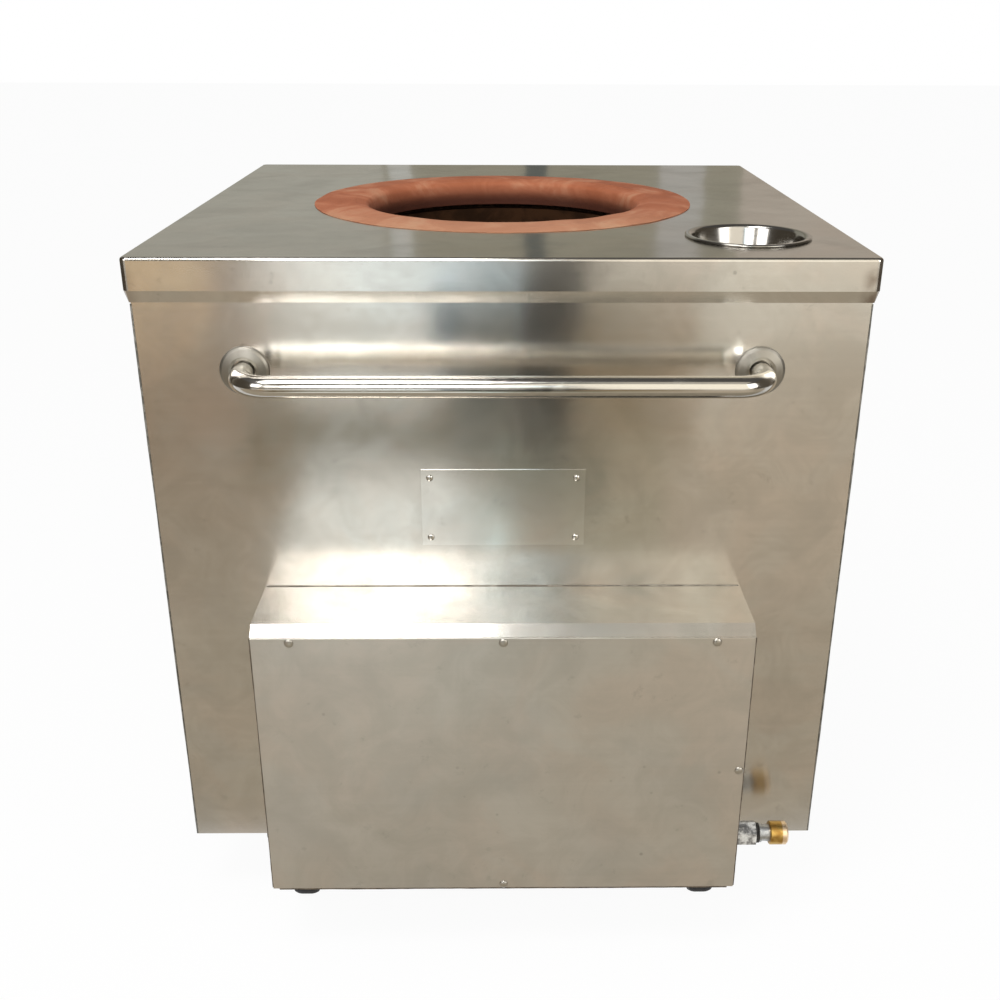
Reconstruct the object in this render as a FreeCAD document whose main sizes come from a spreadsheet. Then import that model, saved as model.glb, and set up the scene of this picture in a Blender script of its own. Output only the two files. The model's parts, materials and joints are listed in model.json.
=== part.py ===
"""Gas-fired square tandoor on casters: stainless cabinet, steel pot, clay mouth ring.

+Z is up and the front faces -Y. The origin is on the floor, at the middle of the object's
box. Each sub-part is an object of the document, bound to the cells of the sheet "Dims".
Positions given to place() are taken from the middle of the cabinet in X and Y.
"""
import FreeCAD, Part
import math
import os
import re

import Sketcher

DIMENSIONS = [
    # worktop: one folded sheet with a skirt and a strip that turns in to the cabinet
    ("top_width", 863.6),
    ("top_depth", 863.6),
    ("top_height", 914.4),
    ("top_sheet", 1.5),
    ("top_fold_radius", 4),
    ("top_corner_radius", 8),
    ("skirt_drop", 38),
    ("strip_drop", 14),
    ("overhang", 6.5),
    # gaps: between a seated piece and its seat, and round a shaft that turns
    ("seat_gap", 0.3),
    ("running_gap", 0.05),
    ("cut_margin", 1),
    ("edge_break", 1),
    # cabinet walls
    ("ground_clearance", 114.4),
    ("panel_sheet", 1.5),
    ("panel_flange", 20),
    # angle-iron frames, corner posts, floor sheet and the bars that the casters bolt to
    ("angle_leg", 40),
    ("angle_wall", 4),
    ("post_leg", 30),
    ("post_wall", 3),
    ("floor_sheet", 2),
    ("rail_width", 100),
    ("rail_height", 10),
    # pot, its stand, the lagging round it, the drum and the outer wool
    ("neck_radius", 195),
    ("neck_height", 40),
    ("belly_lagging", 39),
    ("belly_height", 265),
    ("foot_radius", 235),
    ("pot_wall", 4),
    ("pot_flange_radius", 246),
    ("flame_hole_radius", 70),
    ("stand_radius", 154),
    ("stand_height", 95),
    ("stand_wall", 4),
    ("drum_inset", 80.3),
    ("drum_wall", 2),
    ("wool_gap", 8),
    # clay ring round the mouth and the rope that it is bedded on
    ("mouth_radius", 190),
    ("ring_depth", 35),
    ("ring_body_radius", 252),
    ("ring_lap_radius", 270),
    ("ring_edge", 2),
    ("ring_crest", 5),
    ("rope_width", 18),
    ("rope_height", 6),
    ("mouth_hole_gap", 3),
    # water bowl let into the worktop
    ("bowl_inset", 128.8),
    ("bowl_setback", 138.8),
    ("bowl_rim_radius", 78),
    ("bowl_wall_radius", 69),
    ("bowl_foot_radius", 42),
    ("bowl_depth", 58),
    ("bowl_sheet", 1),
    ("bowl_rim_height", 3.4),
    ("bowl_hole_gap", 1.5),
    # push handle
    ("handle_drop", 133),
    ("handle_span", 604),
    ("handle_standoff", 65),
    ("tube_radius", 12.7),
    ("tube_wall", 1.5),
    ("tube_bend_radius", 38),
    ("flange_radius", 29),
    ("flange_height", 7.5),
    ("flange_edge", 2.5),
    ("flange_fold", 2),
    ("flange_gap", 1.2),
    ("flange_rim", 3),
    ("stud_radius", 5),
    ("plug_length", 14),
    ("backing_size", 60),
    ("backing_sheet", 4),
    ("nut_flats", 16),
    ("nut_height", 8),
    ("thread_overrun", 3),
    # bare nameplate and its four pins
    ("plate_width", 200),
    ("plate_height", 100),
    ("plate_sheet", 1.5),
    ("plate_drop", 307.5),
    ("pin_inset", 10.5),
    ("pin_radius", 1.6),
    ("pin_head_radius", 4.2),
    ("pin_head_height", 2),
    ("pin_tail", 1),
    # burner box on the front, its screwed cover and the port into the cabinet
    ("box_width", 600),
    ("box_depth", 112),
    ("box_sheet", 1.5),
    ("box_bevel", 12),
    ("box_flange", 20),
    ("ledge_drop", 415.5),
    ("cover_sheet", 1.5),
    ("cover_edge_radius", 0.8),
    ("cover_gap", 0.5),
    ("screw_radius", 2),
    ("screw_length", 8),
    ("screw_head_radius", 5.2),
    ("screw_head_height", 2.6),
    ("screw_edge", 6),
    ("screw_span", 254),
    ("side_screw_rise", 182.5),
    ("port_width", 140),
    ("port_height", 80),
    # gas inlet on the right of the burner box
    ("inlet_rise", 42),
    ("inlet_setout", 56),
    ("pipe_radius", 10.7),
    ("pipe_bore", 7.9),
    ("union_flats", 29),
    ("union_gap", 6),
    ("union_length", 30),
    ("adapter_gap", 4),
    ("collar_radius", 12.5),
    ("collar_length", 4),
    ("sleeve_radius", 11),
    ("sleeve_length", 11),
    ("brass_radius", 15.5),
    ("brass_length", 24),
    ("brass_chamfer", 2.5),
    ("inlet_bore_radius", 9.3),
    ("inlet_bore_depth", 16),
    ("spigot_radius", 9.2),
    ("spigot_length", 7),
    # gas valve with its knob and its pilot button
    ("valve_start", 60),
    ("valve_length", 96),
    ("valve_depth", 36),
    ("valve_height", 40),
    ("valve_socket", 12),
    ("valve_round", 3),
    ("knob_offset", 122),
    ("knob_radius", 19),
    ("knob_length", 17),
    ("knob_wall", 3),
    ("stem_radius", 4),
    ("stem_length", 12),
    ("button_offset", 82),
    ("button_radius", 6),
    ("button_length", 12),
    ("button_guide_radius", 9),
    ("button_guide_length", 6),
    ("button_travel", 4),
    # manifold pipe, orifice, air shutter, mixing tube and burner head
    ("manifold_radius", 5),
    ("manifold_wall", 1),
    ("manifold_setback", 8),
    ("manifold_bend_radius", 18),
    ("orifice_setout", 44),
    ("orifice_flats", 14),
    ("orifice_length", 10),
    ("nozzle_radius", 4),
    ("nozzle_length", 10),
    ("mixer_setout", 26),
    ("mixer_mouth_radius", 24),
    ("mixer_throat_radius", 14),
    ("mixer_radius", 18),
    ("mixer_wall", 2),
    ("shutter_sheet", 1.5),
    ("shutter_skirt", 14),
    ("shutter_window_radius", 4.5),
    ("shutter_pitch_radius", 16),
    ("head_radius", 64),
    ("head_height", 44),
    ("head_wall", 4),
    ("head_port_radius", 2.5),
    ("head_port_pitch", 52),
    ("pedestal_radius", 26),
    # flame spreader over the burner, pilot and thermocouple beside it
    ("spreader_radius", 110),
    ("spreader_rise", 18),
    ("spreader_sheet", 4),
    ("spreader_leg", 32),
    ("spreader_leg_radius", 6),
    ("spreader_leg_pitch", 88),
    ("pilot_offset", 84),
    ("pilot_radius", 5),
    ("probe_radius", 3),
    ("probe_pitch", 13),
    ("pilot_height", 66),
    # swivel casters
    ("caster_inset", 145.3),
    ("caster_setback", 54.6),
    ("caster_plate_width", 64),
    ("caster_plate_depth", 92),
    ("caster_plate_sheet", 3),
    ("bolt_pitch_width", 44),
    ("bolt_pitch_depth", 72),
    ("bolt_head_radius", 7),
    ("bolt_head_height", 4.5),
    ("race_radius", 24),
    ("race_height", 8),
    ("kingpin_radius", 6),
    ("kingpin_head_radius", 9),
    ("kingpin_head_height", 5),
    ("fork_sheet", 4),
    ("fork_boss_radius", 13),
    ("wheel_trail", 32),
    ("wheel_radius", 38.1),
    ("wheel_width", 32),
    ("wheel_crown", 3),
    ("hub_radius", 11),
    ("web_radius", 27),
    ("web_recess", 6),
    ("hub_proud", 1.6),
    ("axle_radius", 4),
    ("axle_head_radius", 7),
    ("axle_head_height", 4),
]

DERIVED = [
    ("body_width", "top_width - 2 * overhang"),
    ("body_depth", "top_depth - 2 * overhang"),
    ("front_face", "-body_depth / 2"),
    ("cabinet_y", "(box_depth + screw_head_height - overhang) / 2"),
    ("panel_top", "top_height - top_sheet"),
    ("panel_height", "panel_top - ground_clearance"),
    ("frame_x", "body_width / 2 - panel_sheet"),
    ("frame_y", "body_depth / 2 - 2 * panel_sheet"),
    ("floor_top", "ground_clearance + angle_wall + floor_sheet"),
    ("caster_height", "ground_clearance - rail_height"),
    ("pot_foot", "floor_top + stand_height"),
    ("pot_top", "top_height - ring_depth - rope_height"),
    ("ledge_height", "top_height - ledge_drop"),
    ("cover_top", "ledge_height - box_bevel - cover_gap"),
    ("hood_depth", "box_depth - cover_sheet"),
    ("inlet_height", "ground_clearance + inlet_rise"),
    ("drum_radius", "min(body_width; body_depth) / 2 - drum_inset"),
    ("belly_radius", "drum_radius - drum_wall - belly_lagging - pot_wall"),
    ("bowl_offset", "top_width / 2 - bowl_inset"),
    ("caster_offset", "body_width / 2 - caster_inset"),
    ("caster_spread", "body_depth / 2 - caster_setback"),
    ("union_start", "box_width / 2 + union_gap"),
    ("gas_y", "front_face - inlet_setout"),
    ("bowl_y", "bowl_setback - top_depth / 2"),
    ("handle_height", "top_height - handle_drop"),
    ("adapter_start", "union_start + union_length + adapter_gap"),
    ("brass_start", "adapter_start + collar_length + sleeve_length"),
    ("fork_top", "caster_height - caster_plate_sheet - race_height - seat_gap"),
    ("fork_inner", "wheel_width + 2 * hub_proud + 2 * seat_gap"),
    ("fork_outer", "fork_inner + 2 * fork_sheet"),
]

doc = FreeCAD.newDocument("Tandoor")
sheet = doc.addObject("Spreadsheet::Sheet", "Dims")


def fill_sheet():
    """Write the driving sizes as plain numbers and the sizes that follow as formulas."""
    rows = [(alias, str(number)) for alias, number in DIMENSIONS]
    rows += [(alias, "=" + text) for alias, text in DERIVED]
    for row, (alias, content) in enumerate(rows, 1):
        sheet.set("A%d" % row, alias)
        sheet.set("B%d" % row, content)
        sheet.setAlias("B%d" % row, alias)
    doc.recompute()


fill_sheet()


def formula(text):
    """An expression on the sheet: every bare word that isn't a function becomes a cell."""
    return re.sub(r"\b([a-z]\w*)\b(?!\()", r"Dims.\1", text)


def size(text):
    """The number that an expression on the sheet gives now."""
    return float(sheet.evalExpression(formula(text)))


def bind(thing, **properties):
    for name, text in properties.items():
        thing.setExpression(name, formula(text))


def place(thing, x="0", y="0", z="0"):
    """Put a sub-part at x, y from the middle of the cabinet and z from the floor."""
    for axis, text in (("x", x), ("y", "cabinet_y + (%s)" % y), ("z", z)):
        thing.setExpression("Placement.Base." + axis, formula(text))
    return thing


# ---- sketches and features -------------------------------------------------------------

def new_body(label):
    body = doc.addObject("PartDesign::Body", label)
    body.Label = label
    return body


def new_sketch(body, plane, lift="0"):
    """A sketch on one of the body's own planes, lifted along the plane's normal."""
    sketch = body.newObject("Sketcher::SketchObject", body.Name + "_sketch")
    support = next(f for f in body.Origin.OriginFeatures if f.Role == plane)
    sketch.AttachmentSupport = (support, [""])
    sketch.MapMode = "FlatFace"
    sketch.setExpression("AttachmentOffset.Base.z", formula(lift))
    return sketch


def constrain(sketch, *arguments, text=None):
    index = sketch.addConstraint(Sketcher.Constraint(*arguments))
    if text is not None:
        sketch.setExpression("Constraints[%d]" % index, formula(text))


def pin(sketch, edge, vertex, x, y):
    """Hold a point of the sketch at x, y."""
    for kind, text, axis in (("DistanceX", x, -2), ("DistanceY", y, -1)):
        if text == "0":
            constrain(sketch, "PointOnObject", edge, vertex, axis)
        else:
            constrain(sketch, kind, -1, 1, edge, vertex, size(text), text=text)


def outline(sketch, corners):
    """A closed outline. A corner (x, y) starts a line and (x, y, via_x, via_y) an arc."""
    first = sketch.GeometryCount
    count = len(corners)
    points = [FreeCAD.Vector(size(corner[0]), size(corner[1])) for corner in corners]
    for index, corner in enumerate(corners):
        start, end = points[index], points[(index + 1) % count]
        if len(corner) == 4:
            via = FreeCAD.Vector(size(corner[2]), size(corner[3]))
            sketch.addGeometry(Part.Arc(start, via, end), False)
        else:
            sketch.addGeometry(Part.LineSegment(start, end), False)
    ends = [vertex_order(sketch, first + index, points[index]) for index in range(count)]
    for index in range(count):
        following = (index + 1) % count
        constrain(sketch, "Coincident", first + index, ends[index][1], first + following, ends[following][0])
    for index, corner in enumerate(corners):
        pin(sketch, first + index, ends[index][0], corner[0], corner[1])
    for index, corner in enumerate(corners):
        if len(corner) == 4:
            via = FreeCAD.Vector(size(corner[2]), size(corner[3]))
            mark = sketch.addGeometry(Part.Point(via), True)
            pin(sketch, mark, 1, corner[2], corner[3])
            constrain(sketch, "PointOnObject", mark, 1, first + index)


def vertex_order(sketch, edge, start):
    """The sketch's numbers for the ends of an edge, the one at start first."""
    return (1, 2) if sketch.getPoint(edge, 1).sub(start).Length < 1e-6 else (2, 1)


def circle(sketch, radius, x="0", y="0"):
    centre = FreeCAD.Vector(size(x), size(y))
    edge = sketch.addGeometry(Part.Circle(centre, FreeCAD.Vector(0, 0, 1), size(radius)), False)
    constrain(sketch, "Radius", edge, size(radius), text=radius)
    pin(sketch, edge, 3, x, y)


def rectangle(sketch, left, right, bottom, top):
    outline(sketch, [(left, bottom), (right, bottom), (right, top), (left, top)])


def rounded_rectangle(sketch, half_x, half_y, radius):
    """A rectangle about the sketch's origin, its corners rounded by arcs."""
    wide, deep, r = size(half_x), size(half_y), size(radius)
    first = sketch.GeometryCount
    quarters = [(1, 1), (-1, 1), (-1, -1), (1, -1)]
    for turn, (across, along) in enumerate(quarters):
        centre = FreeCAD.Vector(across * (wide - r), along * (deep - r))
        ring = Part.Circle(centre, FreeCAD.Vector(0, 0, 1), r)
        sketch.addGeometry(Part.ArcOfCircle(ring, turn * math.pi / 2, (turn + 1) * math.pi / 2), False)
    for index in range(4):
        following = first + (index + 1) % 4
        start, end = sketch.getPoint(first + index, 2), sketch.getPoint(following, 1)
        side = sketch.addGeometry(Part.LineSegment(start, end), False)
        constrain(sketch, "Tangent", first + index, 2, side, 1)
        constrain(sketch, "Tangent", side, 2, following, 1)
    for index, (across, along) in enumerate(quarters):
        constrain(sketch, "Radius", first + index, r, text=radius)
        pin(sketch, first + index, 3, "%d * (%s - %s)" % (across, half_x, radius),
            "%d * (%s - %s)" % (along, half_y, radius))


def hexagon(sketch, flats):
    """A hexagon across its flats, about the sketch's origin."""
    half = "%s / 2" % flats
    point = "%s / sqrt(3)" % flats
    outline(sketch, [(half, "-%s / 2" % point), (half, "%s / 2" % point), ("0", point),
                     ("-%s" % half, "%s / 2" % point), ("-%s" % half, "-%s / 2" % point), ("0", "-" + point)])


def pad(body, sketch, length, side="One side", back=False):
    feature = body.newObject("PartDesign::Pad", body.Name + "_pad")
    feature.Profile = sketch
    feature.SideType = side
    feature.Reversed = back
    bind(feature, Length=length)
    return feature


def pocket(body, sketch, length=None, side="One side", back=False):
    """A cut of a given length, or right through both ways where no length is given."""
    feature = body.newObject("PartDesign::Pocket", body.Name + "_pocket")
    feature.Profile = sketch
    if length is None:
        feature.SideType = "Two sides"
        feature.Type = "ThroughAll"
        feature.Type2 = "ThroughAll"
    else:
        feature.SideType = side
        feature.Reversed = back
        bind(feature, Length=length)
    return feature


def revolve(body, sketch, axis="V_Axis"):
    feature = body.newObject("PartDesign::Revolution", body.Name + "_turn")
    feature.Profile = sketch
    feature.ReferenceAxis = (sketch, [axis])
    return feature


def loft(body, kind, start, end):
    feature = body.newObject("PartDesign::" + kind, body.Name + "_loft")
    feature.Profile = start
    feature.Sections = [end]
    return feature


def polar(body, feature, sketch, count):
    """Repeat a feature about the normal of its sketch's plane."""
    pattern = body.newObject("PartDesign::PolarPattern", body.Name + "_ring")
    pattern.Originals = [feature]
    pattern.Axis = (sketch, ["N_Axis"])
    pattern.Occurrences = count
    body.Tip = pattern
    return pattern


def fillet(body, feature, radius, chosen):
    """Round the edges of a feature that the test picks."""
    doc.recompute()
    names = ["Edge%d" % n for n, edge in enumerate(feature.Shape.Edges, 1) if chosen(edge)]
    rounding = body.newObject("PartDesign::Fillet", body.Name + "_round")
    rounding.Base = (feature, names)
    bind(rounding, Radius=radius)
    return rounding


def turned(label, plane, corners, axis="V_Axis"):
    """A body turned from one closed outline."""
    body = new_body(label)
    sketch = new_sketch(body, plane)
    outline(sketch, corners)
    revolve(body, sketch, axis)
    return body


def block(label, x, y, z, length, width, height):
    """A box from its lowest corner, in place()'s coordinates."""
    solid = doc.addObject("Part::Box", label)
    solid.Label = label
    bind(solid, Length=length, Width=width, Height=height)
    return place(solid, x, y, z)


def group(label, members):
    """Like pieces that share one node, each still a solid of its own."""
    compound = doc.addObject("Part::Compound", label)
    compound.Label = label
    compound.Links = members
    return compound


# ---- worktop ---------------------------------------------------------------------------

def make_top_cover():
    body = new_body("top_cover")
    top = new_sketch(body, "XY_Plane")
    rounded_rectangle(top, "top_width / 2", "top_depth / 2", "top_corner_radius")
    skirt = pad(body, top, "skirt_drop", back=True)
    skirt = fillet(body, skirt, "top_fold_radius", lambda edge: edge.BoundBox.ZMin > -1e-6)
    upper = ("-skirt_drop", "overhang - top_sheet", "top_corner_radius - top_sheet")
    lower = ("-(skirt_drop + strip_drop)", "seat_gap", "seat_gap")
    for kind, wall in (("AdditiveLoft", "top_sheet"), ("SubtractiveLoft", "0")):
        sections = []
        for level, reach, corner in (upper, lower):
            section = new_sketch(body, "XY_Plane", level)
            rounded_rectangle(section, "(body_width / 2 + %s + %s)" % (reach, wall),
                              "(body_depth / 2 + %s + %s)" % (reach, wall), "(%s + %s)" % (corner, wall))
            sections.append(section)
        loft(body, kind, *sections)
    hollow = new_sketch(body, "XY_Plane", "-top_sheet")
    rounded_rectangle(hollow, "(top_width / 2 - top_sheet)", "(top_depth / 2 - top_sheet)",
                      "(top_corner_radius - top_sheet)")
    inside = pocket(body, hollow, "skirt_drop - top_sheet")
    ceiling = -size("top_sheet")
    fillet(body, inside, "top_fold_radius - top_sheet",
           lambda edge: abs(edge.BoundBox.ZMin - ceiling) + abs(edge.BoundBox.ZMax - ceiling) < 1e-5)
    holes = new_sketch(body, "XY_Plane")
    circle(holes, "ring_body_radius + mouth_hole_gap")
    circle(holes, "bowl_wall_radius + bowl_sheet + bowl_hole_gap", "bowl_offset", "bowl_y")
    pocket(body, holes)
    return place(body, z="top_height")


def make_mouth_ring():
    """Fired clay ring: a deep body in the hole, and a crowned lap that lies on the sheet."""
    lap = "(ring_lap_radius - mouth_radius)"
    body = turned("mouth_ring", "XZ_Plane", [
        ("mouth_radius", "-ring_depth"),
        ("ring_body_radius", "-ring_depth"),
        ("ring_body_radius", "0"),
        ("ring_lap_radius", "0"),
        ("ring_lap_radius - ring_edge / 2", "ring_edge",
         "ring_lap_radius - 0.35 * " + lap, "0.88 * ring_crest"),
        ("mouth_radius + 0.31 * " + lap, "ring_crest",
         "mouth_radius + 0.09 * " + lap, "0.2 * ring_crest"),
        ("mouth_radius", "-0.4 * ring_depth"),
    ])
    return place(body, z="top_height")


def make_mouth_rope():
    """Flat fibre rope between the pot's flange and the clay ring."""
    middle = "(neck_radius + pot_flange_radius) / 2"
    body = turned("mouth_rope", "XZ_Plane", [
        (middle + " - rope_width / 2", "0"),
        (middle + " + rope_width / 2", "0"),
        (middle + " + rope_width / 2", "rope_height"),
        (middle + " - rope_width / 2", "rope_height"),
    ])
    return place(body, z="pot_top")


def make_water_bowl():
    rim_low = "bowl_rim_height - bowl_sheet"
    body = turned("water_bowl", "XZ_Plane", [
        ("0", "-bowl_depth"),
        ("bowl_foot_radius", "-bowl_depth",
         "bowl_foot_radius + 0.72 * (bowl_wall_radius - bowl_foot_radius)", "-0.66 * bowl_depth"),
        ("bowl_wall_radius + bowl_sheet", rim_low),
        ("bowl_rim_radius - 2 * bowl_sheet", rim_low),
        ("bowl_rim_radius - bowl_sheet", "seat_gap"),
        ("bowl_rim_radius", "seat_gap"),
        ("bowl_rim_radius", rim_low,
         "bowl_rim_radius - 0.3 * bowl_sheet", "bowl_rim_height - 0.3 * bowl_sheet"),
        ("bowl_rim_radius - bowl_sheet", "bowl_rim_height"),
        ("bowl_wall_radius + bowl_sheet", "bowl_rim_height",
         "bowl_wall_radius + 0.3 * bowl_sheet", "bowl_rim_height - 0.3 * bowl_sheet"),
        ("bowl_wall_radius", rim_low,
         "bowl_foot_radius - bowl_sheet / 2 + 0.72 * (bowl_wall_radius - bowl_foot_radius)",
         "bowl_sheet - 0.66 * bowl_depth"),
        ("bowl_foot_radius - bowl_sheet / 2", "bowl_sheet - bowl_depth"),
        ("0", "bowl_sheet - bowl_depth"),
    ])
    return place(body, "bowl_offset", "bowl_y", "top_height")


# ---- cabinet walls ---------------------------------------------------------------------

def make_front_panel():
    body = new_body("front_panel")
    sheet_metal = new_sketch(body, "XZ_Plane")
    rectangle(sheet_metal, "-body_width / 2", "body_width / 2", "ground_clearance", "panel_top")
    rectangle(sheet_metal, "-port_width / 2", "port_width / 2", "floor_top", "floor_top + port_height")
    for side in ("-1", "1"):
        circle(sheet_metal, "stud_radius + running_gap", side + " * handle_span / 2", "handle_height")
        for level in ("-1", "1"):
            circle(sheet_metal, "pin_radius + running_gap", side + " * (plate_width / 2 - pin_inset)",
                   "top_height - plate_drop + %s * (plate_height / 2 - pin_inset)" % level)
    pad(body, sheet_metal, "panel_sheet", back=True)
    return place(body, y="front_face")


def make_side_panel(label, side):
    """A side wall with a flange turned in behind the front and the back panel."""
    body = new_body(label)
    outside = side + " * body_width / 2"
    inside = side + " * (body_width / 2 - panel_sheet)"
    lip = side + " * (body_width / 2 - panel_flange)"
    end = "(body_depth / 2 - panel_sheet)"
    fold = "(body_depth / 2 - 2 * panel_sheet)"
    section = new_sketch(body, "XY_Plane")
    outline(section, [(outside, "-" + end), (outside, end), (lip, end), (lip, fold),
                      (inside, fold), (inside, "-" + fold), (lip, "-" + fold), (lip, "-" + end)])
    pad(body, section, "panel_height")
    return place(body, z="ground_clearance")


def make_back_panel():
    body = new_body("back_panel")
    sheet_metal = new_sketch(body, "XZ_Plane")
    rectangle(sheet_metal, "-body_width / 2", "body_width / 2", "ground_clearance", "panel_top")
    pad(body, sheet_metal, "panel_sheet")
    return place(body, y="body_depth / 2")


# ---- frame -----------------------------------------------------------------------------

def make_angle_frame(label, level, hangs):
    """Angle iron welded into a rectangle, its flat leg below or, where it hangs, above."""
    body = new_body(label)
    for length, thickness in (("angle_leg", "angle_wall"), ("angle_wall", "angle_leg")):
        section = new_sketch(body, "XY_Plane")
        rectangle(section, "-frame_x", "frame_x", "-frame_y", "frame_y")
        rectangle(section, "-(frame_x - %s)" % thickness, "frame_x - %s" % thickness,
                  "-(frame_y - %s)" % thickness, "frame_y - %s" % thickness)
        pad(body, section, length, back=hangs)
    return place(body, z=level)


def make_base_frame():
    """The lower frame, with a notch in its front leg for the mixing tube."""
    body = make_angle_frame("base_frame", "ground_clearance", False)
    cut_port(body, "floor_top - ground_clearance")
    return body


def make_corner_posts():
    posts = []
    for across in ("-1", "1"):
        for along in ("-1", "1"):
            body = new_body("corner_post_%d" % (len(posts) + 1))
            corner_x = across + " * (frame_x - angle_wall%s)"
            corner_y = along + " * (frame_y - angle_wall%s)"
            section = new_sketch(body, "XY_Plane")
            outline(section, [(corner_x % "", corner_y % ""),
                              (corner_x % " - post_leg", corner_y % ""),
                              (corner_x % " - post_leg", corner_y % " - post_wall"),
                              (corner_x % " - post_wall", corner_y % " - post_wall"),
                              (corner_x % " - post_wall", corner_y % " - post_leg"),
                              (corner_x % "", corner_y % " - post_leg")])
            pad(body, section, "panel_top - angle_wall - floor_top")
            posts.append(place(body, z="floor_top"))
    return group("corner_posts", posts)


def make_rail(label, side):
    return block(label, side + " * caster_offset - rail_width / 2", "-frame_y", "caster_height",
                 "rail_width", "2 * frame_y", "rail_height")


def make_floor_sheet():
    return block("floor_sheet", "angle_wall - frame_x", "angle_wall - frame_y",
                 "ground_clearance + angle_wall",
                 "2 * (frame_x - angle_wall)", "2 * (frame_y - angle_wall)", "floor_sheet")


# ---- pot and what surrounds it ---------------------------------------------------------

def cut_port(body, sill="-cut_margin"):
    """Open the way for the mixing tube from the middle of a body out to the front."""
    sketch = new_sketch(body, "XZ_Plane")
    rectangle(sketch, "-port_width / 2", "port_width / 2", sill, "port_height")
    pocket(body, sketch, "body_depth / 2", back=True)


def make_drum():
    body = turned("steel_drum", "XZ_Plane", [
        ("drum_radius - drum_wall", "0"),
        ("drum_radius", "0"),
        ("drum_radius", "panel_top - seat_gap - floor_top"),
        ("drum_radius - drum_wall", "panel_top - seat_gap - floor_top"),
    ])
    cut_port(body)
    return place(body, z="floor_top")


def make_pot():
    """The pot's wall is one arc from foot to neck, with a flange for the clay ring."""
    height = "(pot_top - pot_foot)"
    neck = height + " - pot_wall - neck_height"
    body = turned("inner_pot", "XZ_Plane", [
        ("flame_hole_radius", "0"),
        ("foot_radius + pot_wall", "0", "belly_radius + pot_wall", "belly_height"),
        ("neck_radius + pot_wall", neck),
        ("neck_radius + pot_wall", height + " - pot_wall"),
        ("pot_flange_radius", height + " - pot_wall"),
        ("pot_flange_radius", height),
        ("neck_radius", height),
        ("neck_radius", neck, "belly_radius", "belly_height"),
        ("foot_radius", "pot_wall"),
        ("flame_hole_radius", "pot_wall"),
    ])
    return place(body, z="pot_foot")


def make_lagging():
    """Fibre blanket that fills the drum round the pot, and its stand, up to the worktop."""
    gap = " + seat_gap"
    foot = "(pot_foot - floor_top)"
    height = "(pot_top - floor_top)"
    neck = height + " - pot_wall - neck_height"
    drum = "drum_radius - drum_wall - seat_gap"
    body = turned("pot_lagging", "XZ_Plane", [
        ("stand_radius" + gap, "0"),
        (drum, "0"),
        (drum, "panel_top - seat_gap - floor_top"),
        ("ring_body_radius" + gap, "panel_top - seat_gap - floor_top"),
        ("ring_body_radius" + gap, height + " - pot_wall - seat_gap"),
        ("neck_radius + pot_wall" + gap, height + " - pot_wall - seat_gap"),
        ("neck_radius + pot_wall" + gap, neck,
         "belly_radius + pot_wall" + gap, foot + " + belly_height"),
        ("foot_radius + pot_wall" + gap, foot),
        ("foot_radius + pot_wall" + gap, foot + " - seat_gap"),
        ("stand_radius" + gap, foot + " - seat_gap"),
    ])
    cut_port(body)
    return place(body, z="floor_top")


def make_stand():
    body = turned("pot_stand", "XZ_Plane", [
        ("stand_radius - stand_wall", "0"),
        ("stand_radius", "0"),
        ("stand_radius", "stand_height"),
        ("stand_radius - stand_wall", "stand_height"),
    ])
    cut_port(body)
    return place(body, z="floor_top")


def make_wool():
    """Wool slab with a round hole for the drum, clear of the frames and of the bowl."""
    half_x = "(frame_x - angle_wall - post_leg - seat_gap)"
    half_y = "(frame_y - angle_wall - post_leg - seat_gap)"
    body = new_body("cabinet_wool")
    section = new_sketch(body, "XY_Plane")
    rectangle(section, "-" + half_x, half_x, "-" + half_y, half_y)
    circle(section, "drum_radius + seat_gap")
    pad(body, section, "top_height - bowl_depth - wool_gap - floor_top")
    cut_port(body)
    return place(body, z="floor_top")


# ---- push handle and nameplate ---------------------------------------------------------

def make_handle_bar():
    """One tube, bent square at both ends to stand off the front wall."""
    body = new_body("handle_bar")
    spine = new_sketch(body, "XY_Plane")
    stations = [("handle_span / 2", "0"),
                ("handle_span / 2", "tube_bend_radius - handle_standoff"),
                ("handle_span / 2 - tube_bend_radius", "-handle_standoff"),
                ("tube_bend_radius - handle_span / 2", "-handle_standoff"),
                ("-handle_span / 2", "tube_bend_radius - handle_standoff"),
                ("-handle_span / 2", "0")]
    inset = "tube_bend_radius * (1 - sqrt(0.5))"
    vias = {1: ("handle_span / 2 - " + inset, "-handle_standoff + " + inset),
            3: (inset + " - handle_span / 2", "-handle_standoff + " + inset)}
    path(spine, stations, vias)
    section = new_sketch(body, "XZ_Plane")
    circle(section, "tube_radius", "handle_span / 2")
    circle(section, "tube_radius - tube_wall", "handle_span / 2")
    sweep(body, section, spine, len(stations) - 1)
    return place(body, y="front_face", z="handle_height")


def path(sketch, stations, vias):
    """An open path through the stations. An edge listed in vias is an arc."""
    points = [FreeCAD.Vector(size(x), size(y)) for x, y in stations]
    starts = []
    for index in range(len(points) - 1):
        edge = Part.LineSegment(points[index], points[index + 1])
        if index in vias:
            via = FreeCAD.Vector(size(vias[index][0]), size(vias[index][1]))
            edge = Part.Arc(points[index], via, points[index + 1])
        sketch.addGeometry(edge, False)
        starts.append(vertex_order(sketch, index, points[index]))
        if index:
            constrain(sketch, "Coincident", index - 1, starts[index - 1][1], index, starts[index][0])
        pin(sketch, index, starts[index][0], *stations[index])
    pin(sketch, len(points) - 2, starts[-1][1], *stations[-1])
    for index, (x, y) in vias.items():
        mark = sketch.addGeometry(Part.Point(FreeCAD.Vector(size(x), size(y))), True)
        pin(sketch, mark, 1, x, y)
        constrain(sketch, "PointOnObject", mark, 1, index)


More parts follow.
